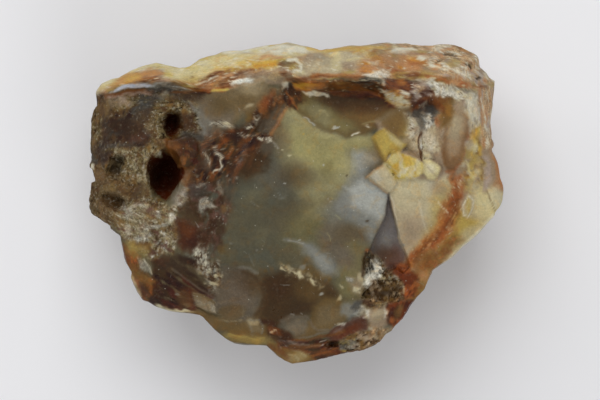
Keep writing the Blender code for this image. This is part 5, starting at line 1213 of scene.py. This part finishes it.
def face_height(x, y):
    """Level of the broken face: a leaning plane, cut by slopes and scoops, stepped and pitted."""
    level = FACE_LEVEL + FACE_LEAN_X * x + FACE_LEAN_Y * y
    for (out_x, out_y), start, fall in FACE_SLOPES:
        slope = FACE_LEVEL - fall * (x * out_x + y * out_y - start)
        level = soft_min(level, slope, SLOPE_ROUNDING)
    for (mid_x, mid_y), lowest, (curve_x, curve_y) in SCOOPS:
        bowl = lowest + (x - mid_x) ** 2 / (2 * curve_x) + (y - mid_y) ** 2 / (2 * curve_y)
        level = soft_min(level, bowl, SCOOP_ROUNDING)
    for numbers, rise, (lean_x, lean_y), width in STEPS.values():
        outline = pairs(*numbers)
        mid_x, mid_y = np.mean(outline, axis=0)
        share = smooth_step(inside_distance(outline, x, y) / width + 0.5)
        level = level + share * (rise + lean_x * (x - mid_x) + lean_y * (y - mid_y))
    for middle, halves, turn, depth in HOLLOWS.values():
        radius = oval_radius(middle, halves, turn, x, y)
        level = level - depth * np.clip(1.0 - radius**2, 0.0, 1.0) ** HOLLOW_CURVE
    return level


def rim_height(x, y):
    """Level of the rim's top: a mild slope from its crest, then a steep one to the edge."""
    foot = np.interp(x, RIM_X, RIM_FOOT)
    crest = np.interp(x, CREST_X, CREST_LEVEL)
    crest_line = foot + CREST_BACK
    steep_start = np.maximum(np.interp(x, BREAK_X, BREAK_LINE), crest_line)
    mild = crest - MILD_SLOPE * np.maximum(y - crest_line, 0.0)
    steep = crest - MILD_SLOPE * (steep_start - crest_line) - STEEP_SLOPE * (y - steep_start)
    return soft_min(mild, steep, BREAK_ROUNDING)


def top_height(x, y):
    """The broken face, with the rim standing over it behind a steep step."""
    foot = np.interp(x, RIM_X, RIM_FOOT)
    share = smooth_step((y - foot) / RIM_STEP + RIM_STEP_SHIFT)
    level = face_height(x, y) * (1.0 - share) + rim_height(x, y) * share
    for (out_x, out_y), start, fall in RIM_SLOPES:
        slope = FACE_LEVEL - fall * (x * out_x + y * out_y - start)
        level = soft_min(level, slope, SLOPE_ROUNDING)
    return level


def back_height(x, y):
    """Level of the back: flat where it rests, and rising to the edge in flat breaks."""
    level = np.zeros(x.shape)
    for (out_x, out_y), start, rise in BACK_SLOPES:
        level = np.maximum(level, rise * (x * out_x + y * out_y - start))
    return level


def surface(turn, run):
    """Points of the lump. turn is the angle; run goes from 0, mid face, to 1, mid back."""
    on_face = np.clip(run / FACE_SHARE, 0.0, 1.0)
    on_edge = np.clip((run - FACE_SHARE) / EDGE_SHARE, 0.0, 1.0)
    on_back = np.clip((run - FACE_SHARE - EDGE_SHARE) / (1.0 - FACE_SHARE - EDGE_SHARE), 0.0, 1.0)
    reach = np.where(run <= FACE_SHARE, equal_area(on_face, FACE_SHARE), 1.0)
    reach = np.where(on_back > 0.0, 1.0 - on_back, reach)
    radius = edge_radius(turn)
    rim = np.column_stack([radius * np.cos(turn), radius * np.sin(turn), EDGE_HEIGHT * on_edge])
    dent = 0.5 + 0.5 * lattice_noise(rim, DENT_SIZE, DENT_SEED)
    away = np.abs(on_edge - WIDEST_AT) / (1.0 - WIDEST_AT)
    radius = radius * reach * (1.0 - (EDGE_INSET + EDGE_DENTS * dent) * away * reach**4)
    x, y = radius * np.cos(turn), radius * np.sin(turn)
    back = back_height(x, y)
    top = np.maximum(top_height(x, y), back + LEAST_EDGE)
    z = np.where(run <= FACE_SHARE, top, top + (back - top) * on_edge)
    return np.column_stack([x, y, z])


def fitted(points, box):
    """The same shape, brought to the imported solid's box, which is given in millimetres."""
    low, high = points.min(axis=0), points.max(axis=0)
    return box[0] + (points - low) * (box[1] - box[0]) / (high - low)


def cube_skin(cells):
    """Corners and squares of a cube's skin, each side a grid of two parameters."""
    u, v = np.meshgrid(np.arange(cells + 1), np.arange(cells + 1), indexing="ij")
    near, far = np.zeros_like(u), np.full_like(u, cells)
    sides = [(far, u, v), (near, v, u), (v, far, u), (u, near, v), (u, v, far), (v, u, near)]
    corners = np.concatenate([np.stack(side, axis=-1).reshape(-1, 3) for side in sides])
    first = (u[:-1, :-1] * (cells + 1) + v[:-1, :-1]).ravel()
    square = np.column_stack([first, first + cells + 1, first + cells + 2, first + 1])
    squares = np.concatenate([square + side * (cells + 1) ** 2 for side in range(6)])
    corners, index = np.unique(corners, axis=0, return_inverse=True)
    return corners * 2.0 / cells - 1.0, index.reshape(-1)[squares]


def ball_points(corners):
    """Points of a cube's even grid moved to a ball round it, at nearly even angles."""
    spread = np.tan(corners * np.pi / 4.0)
    return spread / np.linalg.norm(spread, axis=1)[:, None]


def point_normals(points, squares):
    """Outward directions at the points: the mean of their squares' crossed diagonals."""
    corner = points[squares]
    crossed = np.cross(corner[:, 2] - corner[:, 0], corner[:, 3] - corner[:, 1])
    total = np.column_stack([
        np.bincount(squares.ravel(), np.repeat(crossed[:, part], 4), len(points))
        for part in range(3)])
    return total / np.maximum(np.linalg.norm(total, axis=1), 1e-9)[:, None]


def blotches(points, size, cover, seed):
    """1 in blotches of this size that cover this share of the points, and 0 between them."""
    value = layered_noise(points, size, seed)
    return smooth_step((value - np.quantile(value, 1.0 - cover)) / BLOTCH_EDGE + 0.5)


def finish_rows(colours):
    """Each finish as one row of numbers: colour, roughness, grain, bumps and sink."""
    return {name: np.array([*colours[name], rough, grain, BUMPS.get(name, 0), SINKS.get(name, 0)])
            for name, (_, rough, grain) in FINISHES.items()}


def patch_cover(kind, shape, soft, x, y):
    """How much of a patch's finish each point takes, from 0 to 1."""
    if kind == "area":
        return smooth_step(inside_distance(shape, x, y) / soft + 0.5)
    if kind == "band":
        line, width = shape
        return smooth_step((width / 2 - line_distance(line, x, y)) / soft + 0.5)
    return smooth_step((1.0 - oval_radius(*shape, x, y)) / soft + 0.5)


def patch_box(kind, shape):
    """Lowest and highest corner of a patch."""
    if kind == "spot":
        middle, halves, _ = shape
        return np.array(middle) - max(halves), np.array(middle) + max(halves)
    line, width = shape if kind == "band" else (shape, 0.0)
    return np.min(line, axis=0) - width / 2, np.max(line, axis=0) + width / 2


def paint_mix(points, rows, finish, seed):
    """Rows of one finish or of a mix: the main finish with the others over it in blotches."""
    main, layers = MIXES.get(finish, (finish, ()))
    row = np.tile(rows[main], (len(points), 1))
    for number, (other, size, cover, *streak) in enumerate(layers):
        angle, stretch = streak or (0.0, 1.0)
        cosine, sine = np.cos(np.radians(angle)), np.sin(np.radians(angle))
        along = (cosine * points[:, 0] + sine * points[:, 1]) / stretch
        across = cosine * points[:, 1] - sine * points[:, 0]
        turned = np.column_stack([along, across, points[:, 2]])
        spots = blotches(turned, size, cover, seed + 5 * number)[:, None]
        row += (rows[other] - row) * spots
    return row


def paint_face(points, rows):
    """Rows of the finishes at the face's points: each patch laid over those before it."""
    painted = np.tile(rows["smoke"], (len(points), 1))
    stray = np.column_stack([
        0.7 * layered_noise(points, STRAY_SIZE, seed)
        + 0.5 * lattice_noise(points, FINE_STRAY_SIZE, seed + 3)
        for seed in STRAY_SEEDS])
    for number, (kind, finish, shape, soft, share, wander) in enumerate(FACE_PAINT):
        low, high = patch_box(kind, shape)
        margin = soft * (max(shape[1]) if kind == "spot" else 1.0) + STRAY_REACH * wander
        near = np.all((points[:, :2] > low - margin) & (points[:, :2] < high + margin), axis=1)
        near = np.flatnonzero(near)
        x, y = (points[near, :2] + wander * stray[near]).T
        cover = patch_cover(kind, shape, soft, x, y) * share
        near, cover = near[cover > 0.0], cover[cover > 0.0]
        if len(near):
            row = paint_mix(points[near], rows, finish, FACE_SEED + FACE_SEED_STEP * number)
            painted[near] += (row - painted[near]) * cover[:, None]
    return painted


def paint_sides(points, rows, turn, back_share):
    """Rows of the finishes round the edge, which run into each other, and on the back."""
    stray = layered_noise(points, SIDE_STRAY_SIZE, SIDE_STRAY_SEED)
    turned = np.degrees(turn) + SIDE_STRAY_DEGREES * stray
    total = np.zeros((len(points), len(rows["smoke"])))
    weights = np.full(len(points), 1e-6)
    for number, (middle, half, finish) in enumerate(SIDES):
        gap = np.abs((turned - middle + 180.0) % 360.0 - 180.0)
        weight = smooth_step(1.0 - gap / half) ** 2
        row = paint_mix(points, rows, finish, SIDE_SEED + SIDE_SEED_STEP * number)
        total += row * weight[:, None]
        weights += weight
    side = total / weights[:, None]
    return side + (paint_mix(points, rows, BACK, BACK_SEED) - side) * back_share[:, None]


def relief(points, row, settings):
    """How far each point moves outwards: grain, round bumps and sunk finishes, in mm."""
    grain, lumps, sink = row[:, 4], row[:, 5], row[:, 6]
    fine = layered_noise(points, GRAIN_SIZE, GRAIN_SEED)
    bumps = round_bumps(points, BUMP_SIZE, BUMP_SEED) - 0.5
    ripples = lattice_noise(points, RIPPLE_SIZE, RIPPLE_SEED)
    height = grain * fine * settings.grain_depth / MM
    height += lumps * bumps * settings.bump_depth / MM
    height -= sink * settings.pit_share
    height += (1.0 - grain) * settings.ripple_depth / MM * ripples
    return height * smooth_step(points[:, 2] / RELIEF_FADE)


def light_of(colour):
    """The light of colours as a screen shows them, less the haze that the shine adds."""
    light = ((np.clip(colour, 0.0, 1.0) + 0.055) / 1.055) ** 2.4
    return np.maximum(light - SHINE_HAZE, LEAST_LIGHT * light)


class Shade:
    """A socket of a material. Sums on it add Math nodes, and node adds any other kind."""

    def __init__(self, tree, socket=None):
        self.tree = tree
        self.socket = socket

    def node(self, kind, settings=(), values=(), output=0):
        """A new node's output: its type, its settings, and its inputs' values or links."""
        made = self.tree.nodes.new(kind)
        for name, value in dict(settings).items():
            setattr(made, name, value)
        for key, value in dict(values).items():
            if isinstance(value, Shade):
                self.tree.links.new(value.socket, made.inputs[key])
            else:
                made.inputs[key].default_value = value
        return Shade(self.tree, made.outputs[output] if made.outputs else None)

    def output(self, name):
        """Another output of the same node."""
        return Shade(self.tree, self.socket.node.outputs[name])

    def maths(self, operation, *values):
        """A Math node's output for these values."""
        return self.node("ShaderNodeMath", {"operation": operation}, dict(enumerate(values)))

    def __add__(self, other):
        return self.maths("ADD", self, other)

    __radd__ = __add__

    def __sub__(self, other):
        return self.maths("SUBTRACT", self, other)

    def __rsub__(self, other):
        return self.maths("SUBTRACT", other, self)

    def __mul__(self, other):
        return self.maths("MULTIPLY", self, other)

    __rmul__ = __mul__

    def between(self, low, high):
        """0 at low and 1 at high, smooth between them."""
        return self.node("ShaderNodeMapRange", {"interpolation_type": "SMOOTHSTEP"},
                         {"Value": self, "From Min": low, "From Max": high})

    def moved(self, offset):
        """A place moved by an offset, for another pattern of the same kind."""
        return self.node("ShaderNodeVectorMath", {"operation": "ADD"}, {0: self, 1: offset})

    def scaled(self, factor):
        """A colour or vector times a number."""
        return self.node("ShaderNodeVectorMath", {"operation": "SCALE"}, {0: self, "Scale": factor})

    def times(self, colour):
        """A colour times a colour."""
        return self.node("ShaderNodeVectorMath", {"operation": "MULTIPLY"}, {0: self, 1: colour})

    def mixed(self, other, share):
        """This colour with a share of another."""
        return self.node("ShaderNodeMix", {"data_type": "RGBA"}, {0: share, 6: self, 7: other}, 2)

    def noise(self, size, detail=3.0, warp=0.0):
        """Noise on this place, near 0.5, with features of this size."""
        return self.node("ShaderNodeTexNoise", {}, {
            "Vector": self, "Scale": 1.0 / size, "Detail": detail, "Distortion": warp})

    def cells(self, size):
        """Distance to the nearest of scattered points this far apart, and a colour for each."""
        return self.node("ShaderNodeTexVoronoi", {}, {"Vector": self, "Scale": 1.0 / size})


def stone_material():
    """Waxy chalcedony: colour, gloss and grain from the mesh, with clouds, specks and crust."""
    material = bpy.data.materials.new("smoky chalcedony")
    material.use_nodes = True
    tree = material.node_tree
    tree.nodes.clear()
    start = Shade(tree)
    place = start.node("ShaderNodeTexCoord", output="Object").scaled(1.0 / MM)
    tone = start.node("ShaderNodeAttribute", {"attribute_name": "tone"}, output="Color")
    finish = start.node("ShaderNodeAttribute", {"attribute_name": "finish"}, output="Vector")
    parts = start.node("ShaderNodeSeparateXYZ", {}, {0: finish})
    rough, grain, lumps = parts, parts.output("Y"), parts.output("Z")

    clouds = place.noise(3.6, 5.0, 0.8) - 0.5
    wisps = place.noise(1.1, 5.0, 1.6) - 0.5
    fine = place.noise(0.42, 4.0) - 0.5
    dust = place.noise(0.24, 2.0) - 0.5
    shade = 1.0 + clouds * 0.5 + wisps * (0.42 + 0.4 * grain) + fine * (0.36 + 1.7 * grain)
    shade = shade + dust * (0.24 + 1.2 * grain)
    colour = tone.scaled(shade)
    warm = place.noise(2.1, 4.0, 0.8).between(0.5, 0.72)
    colour = colour.mixed(colour.times(WARM_TINT), warm * 0.55)
    cool = place.moved((40.0, 0.0, 0.0)).noise(2.6, 4.0, 0.8).between(0.54, 0.74)
    colour = colour.mixed(colour.times(COOL_TINT), cool * 0.4)
    pale = place.noise(0.55, 4.0).between(0.54, 0.70) * grain
    colour = colour.mixed(CRUMB_COLOUR, pale * 0.32)
    dark = place.noise(0.65, 4.0, 0.4).between(0.47, 0.34) * grain
    colour = colour.mixed(colour.times(GAP_TINT), dark * 0.7)

    glassy = rough.between(0.52, 0.40)
    scratch = place.moved((0.0, 30.0, 0.0)).noise(4.0, 0.0, 0.6) - 0.5
    broken = place.noise(1.9, 2.0).between(0.59, 0.68)
    scratch = scratch.maths("ABSOLUTE", scratch).between(0.012, 0.003) * broken * glassy
    dots = place.cells(1.3)
    chosen = start.node("ShaderNodeSeparateXYZ", {}, {0: dots.output("Color")}).between(0.62, 0.66)
    fleck = dots.between(0.12, 0.07) * chosen
    colour = colour.mixed(SCRATCH_COLOUR, scratch * 0.2)
    colour = colour.mixed(FLECK_COLOUR, fleck * 0.4)

    gloss = rough + (place.noise(1.3, 4.0) - 0.5) * 0.16 + fleck * 0.1
    crumbs = place.noise(0.5, 4.0) * grain + place.noise(0.2, 2.0) * (grain * 0.5)
    height = crumbs + place.noise(2.0, 3.0) * 0.12 + place.noise(0.3, 2.0) * 0.03
    bump = start.node("ShaderNodeBump", {}, {
        "Height": height, "Strength": 0.8, "Distance": 0.28 * MM})
    shared = {"Base Color": colour, "Roughness": gloss, "Normal": bump, "IOR": CHALCEDONY_IOR}
    waxy = start.node("ShaderNodeBsdfPrincipled", {}, {
        **shared, "Specular IOR Level": 0.32, "Subsurface Weight": 0.12,
        "Subsurface Scale": 0.7 * MM, "Subsurface Radius": (1.0, 0.75, 0.5)})
    earthy = start.node("ShaderNodeBsdfPrincipled", {}, {**shared, "Specular IOR Level": 0.08})
    surface_shader = start.node("ShaderNodeMixShader", {}, {
        0: rough.between(0.44, 0.6), 1: waxy, 2: earthy})
    start.node("ShaderNodeOutputMaterial", {}, {"Surface": surface_shader})
    return material


def finish_colours():
    """One colour property for each finish, in the colours that a screen shows."""
    return {
        name: bpy.props.FloatVectorProperty(
            name=name.replace("_", " ").capitalize(),
            description="Colour of the stone where its finish is " + name.replace("_", " "),
            subtype="COLOR_GAMMA", size=3, min=0.0, max=1.0,
            default=tuple(part / 255.0 for part in colour))
        for name, (colour, *_) in FINISHES.items()}


class StoneColours(bpy.types.PropertyGroup):
    """Colours of the stone's finishes"""

    __annotations__ = finish_colours()


class StoneSettings(bpy.types.PropertyGroup):
    """Sizes of the stone's small forms"""

    cells: bpy.props.IntProperty(
        name="Cells", description="Squares along each edge of the cube that becomes the stone",
        default=128, min=16, max=128)
    rough_depth: bpy.props.FloatProperty(
        name="Unevenness", description="Depth of the broad unevenness of the whole lump",
        default=ROUGH_DEPTH * MM, min=0.0, max=0.002, unit="LENGTH")
    grain_depth: bpy.props.FloatProperty(
        name="Crust relief", description="Depth of the grain of the earthy crusts",
        default=0.16 * MM, min=0.0, max=0.001, unit="LENGTH")
    bump_depth: bpy.props.FloatProperty(
        name="Bump height", description="Height of the small round bumps of the crusts",
        default=0.55 * MM, min=0.0, max=0.002, unit="LENGTH")
    ripple_depth: bpy.props.FloatProperty(
        name="Ripple height", description="Height of the faint ripples of the glassy breaks",
        default=0.035 * MM, min=0.0, max=0.001, unit="LENGTH")
    pit_share: bpy.props.FloatProperty(
        name="Pits", description="Share of their full depth that dark pits are sunk to",
        default=1.0, min=0.0, max=2.0, subtype="FACTOR")


class StudioSettings(bpy.types.PropertyGroup):
    """Floor, light and camera round the stone"""

    floor_size: bpy.props.FloatProperty(
        name="Floor size", description="Length of each side of the floor", default=3.0,
        min=0.2, unit="LENGTH")
    floor_colour: bpy.props.FloatVectorProperty(
        name="Floor colour", description="Colour of the floor", subtype="COLOR", size=3,
        min=0.0, max=1.0, default=(0.84, 0.84, 0.86))
    key_power: bpy.props.FloatProperty(
        name="Key light", description="Power of the large lamp beyond the rim", default=6.6,
        min=0.0, unit="POWER")
    fill_power: bpy.props.FloatProperty(
        name="Fill light", description="Power of the weak lamp at the foot", default=3.4,
        min=0.0, unit="POWER")
    glint_power: bpy.props.FloatProperty(
        name="Glint light", description="Power of the small lamp that the gloss mirrors", default=1.2,
        min=0.0, unit="POWER")
    sky_strength: bpy.props.FloatProperty(
        name="Sky", description="Strength of the even light from all sides", default=0.36,
        min=0.0)
    camera_height: bpy.props.FloatProperty(
        name="Camera height", description="Height of the camera over the floor", default=1.5,
        min=0.3, unit="LENGTH")


GROUPS = {"stone_colours": StoneColours, "stone_settings": StoneSettings,
          "studio_settings": StudioSettings}


class MakeStone(bpy.types.Operator):
    """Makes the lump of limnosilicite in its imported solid's place"""

    bl_idname = "limnosilicite.make_stone"
    bl_label = "Make the stone"

    def execute(self, context):
        settings = context.scene.stone_settings
        colours = {name: getattr(context.scene.stone_colours, name) for name in FINISHES}
        box = np.array([list(corner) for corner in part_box(NODE)]) / MM
        corners, squares = cube_skin(settings.cells)
        ball = ball_points(corners)
        turn = np.arctan2(ball[:, 1], ball[:, 0])
        run = np.arccos(np.clip(ball[:, 2], -1.0, 1.0)) / np.pi

        points = surface(turn, run)
        out = points - np.array([0.0, 0.0, box[1, 2] / 2])
        out /= np.maximum(np.linalg.norm(out, axis=1), 1.0)[:, None]
        uneven = lattice_noise(points, ROUGH_SIZE, ROUGH_SEEDS[0])
        uneven += 0.5 * lattice_noise(points, ROUGH_SIZE / 2, ROUGH_SEEDS[1])
        uneven *= smooth_step(points[:, 2] / ROUGH_FADE) * settings.rough_depth / MM
        points = fitted(points + out * uneven[:, None], box)

        rows = finish_rows(colours)
        past_face = np.clip((run - FACE_SHARE) / EDGE_SHARE, 0.0, 1.0)
        past_edge = np.clip((run - FACE_SHARE - EDGE_SHARE) / BACK_FADE, 0.0, 1.0)
        row = paint_sides(points, rows, turn, smooth_step(past_edge))
        reached = np.flatnonzero(past_face < FACE_PAINT_END)
        stray = FACE_FADE_STRAY * layered_noise(points[reached], STRAY_SIZE, FADE_SEED)
        past_fade = (past_face[reached] + stray - FACE_FADE_START) / FACE_FADE
        face_share = 1.0 - smooth_step(past_fade)
        face_row = paint_face(points[reached], rows)
        row[reached] += (face_row - row[reached]) * face_share[:, None]

        normals = point_normals(points, squares)
        points = fitted(points + normals * relief(points, row, settings)[:, None], box)

        mesh = bpy.data.meshes.new("limnosilicite_stone")
        mesh.from_pydata(points * MM, [], squares.tolist())
        tone = mesh.attributes.new("tone", "FLOAT_COLOR", "POINT")
        tones = np.column_stack([light_of(row[:, :3]), np.ones(len(points))])
        tone.data.foreach_set("color", tones.ravel())
        finish = mesh.attributes.new("finish", "FLOAT_VECTOR", "POINT")
        finish.data.foreach_set("vector", row[:, 3:6].ravel())
        mesh.materials.append(stone_material())
        mesh.update()
        mesh.shade_smooth()
        stone = bpy.data.objects.new("limnosilicite_stone", mesh)
        context.scene.collection.objects.link(stone)
        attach(stone, "root")
        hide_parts(NODE)
        return {"FINISHED"}


def add_lamp(context, name, place, target, size, power, mirrored=False):
    """A square lamp at a place, turned to a target. A mirrored one shows in the stone's gloss."""
    lamp = bpy.data.lights.new(name, "AREA")
    lamp.shape = "SQUARE"
    lamp.size = size
    lamp.energy = power
    held = bpy.data.objects.new(name, lamp)
    held.location = place
    held.visible_glossy = mirrored
    held.rotation_euler = (Vector(target) - Vector(place)).to_track_quat("-Z", "Y").to_euler()
    context.scene.collection.objects.link(held)


class MakeStudio(bpy.types.Operator):
    """Makes the pale floor, the soft lamps and the camera straight above the stone"""

    bl_idname = "limnosilicite.make_studio"
    bl_label = "Make the studio"

    def execute(self, context):
        scene = context.scene
        settings = scene.studio_settings
        half = settings.floor_size / 2
        mesh = bpy.data.meshes.new("studio_floor")
        mesh.from_pydata([(-half, -half, 0.0), (half, -half, 0.0), (half, half, 0.0),
                          (-half, half, 0.0)], [], [(0, 1, 2, 3)])
        paper = bpy.data.materials.new("pale paper")
        paper.use_nodes = True
        shader = paper.node_tree.nodes["Principled BSDF"]
        shader.inputs["Base Color"].default_value = (*settings.floor_colour, 1.0)
        shader.inputs["Roughness"].default_value = 0.9
        mesh.materials.append(paper)
        floor = bpy.data.objects.new("studio_floor", mesh)
        floor.visible_glossy = False
        scene.collection.objects.link(floor)

        target = (0.0, 0.0, 0.02)
        add_lamp(context, "key_lamp", (-0.12, 0.62, 0.78), target, 0.9, settings.key_power)
        add_lamp(context, "fill_lamp", (0.35, -0.75, 0.55), target, 0.7, settings.fill_power)
        add_lamp(context, "glint_lamp", (-0.85, 0.45, 0.42), target, 0.3, settings.glint_power, True)
        world = bpy.data.worlds.new("even sky")
        world.use_nodes = True
        sky = world.node_tree.nodes["Background"]
        sky.inputs["Color"].default_value = (1.0, 1.0, 1.0, 1.0)
        sky.inputs["Strength"].default_value = settings.sky_strength
        scene.world = world

        camera = bpy.data.cameras.new("camera")
        camera.sensor_width = 36.0
        view_width = 0.120
        face_level = 0.025
        camera.lens = camera.sensor_width * (settings.camera_height - face_level) / view_width
        camera.clip_end = 10.0
        watcher = bpy.data.objects.new("camera", camera)
        watcher.location = (0.0008, 0.0006, settings.camera_height)
        scene.collection.objects.link(watcher)
        scene.camera = watcher
        scene.view_settings.view_transform = "Standard"
        return {"FINISHED"}


class StonePanel(bpy.types.Panel):
    """The stone's sizes, colours and studio"""

    bl_idname = "VIEW3D_PT_limnosilicite"
    bl_label = "Rough limnosilicite"
    bl_space_type = "VIEW_3D"
    bl_region_type = "UI"
    bl_category = "Stone"

    def draw(self, context):
        for operator, groups in ((MakeStone, ("stone_settings", "stone_colours")),
                                 (MakeStudio, ("studio_settings",))):
            box = self.layout.box()
            box.operator(operator.bl_idname)
            for group in groups:
                for name in GROUPS[group].__annotations__:
                    box.prop(getattr(context.scene, group), name)


CLASSES = (*GROUPS.values(), MakeStone, MakeStudio, StonePanel)


def register():
    for kind in CLASSES:
        bpy.utils.register_class(kind)
    for name, group in GROUPS.items():
        setattr(bpy.types.Scene, name, bpy.props.PointerProperty(type=group))


def unregister():
    for name in GROUPS:
        delattr(bpy.types.Scene, name)
    for kind in reversed(CLASSES):
        bpy.utils.unregister_class(kind)


def main():
    register()
    bpy.ops.limnosilicite.make_stone()
    bpy.ops.limnosilicite.make_studio()
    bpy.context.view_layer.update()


if __name__ == "__main__":
    main()
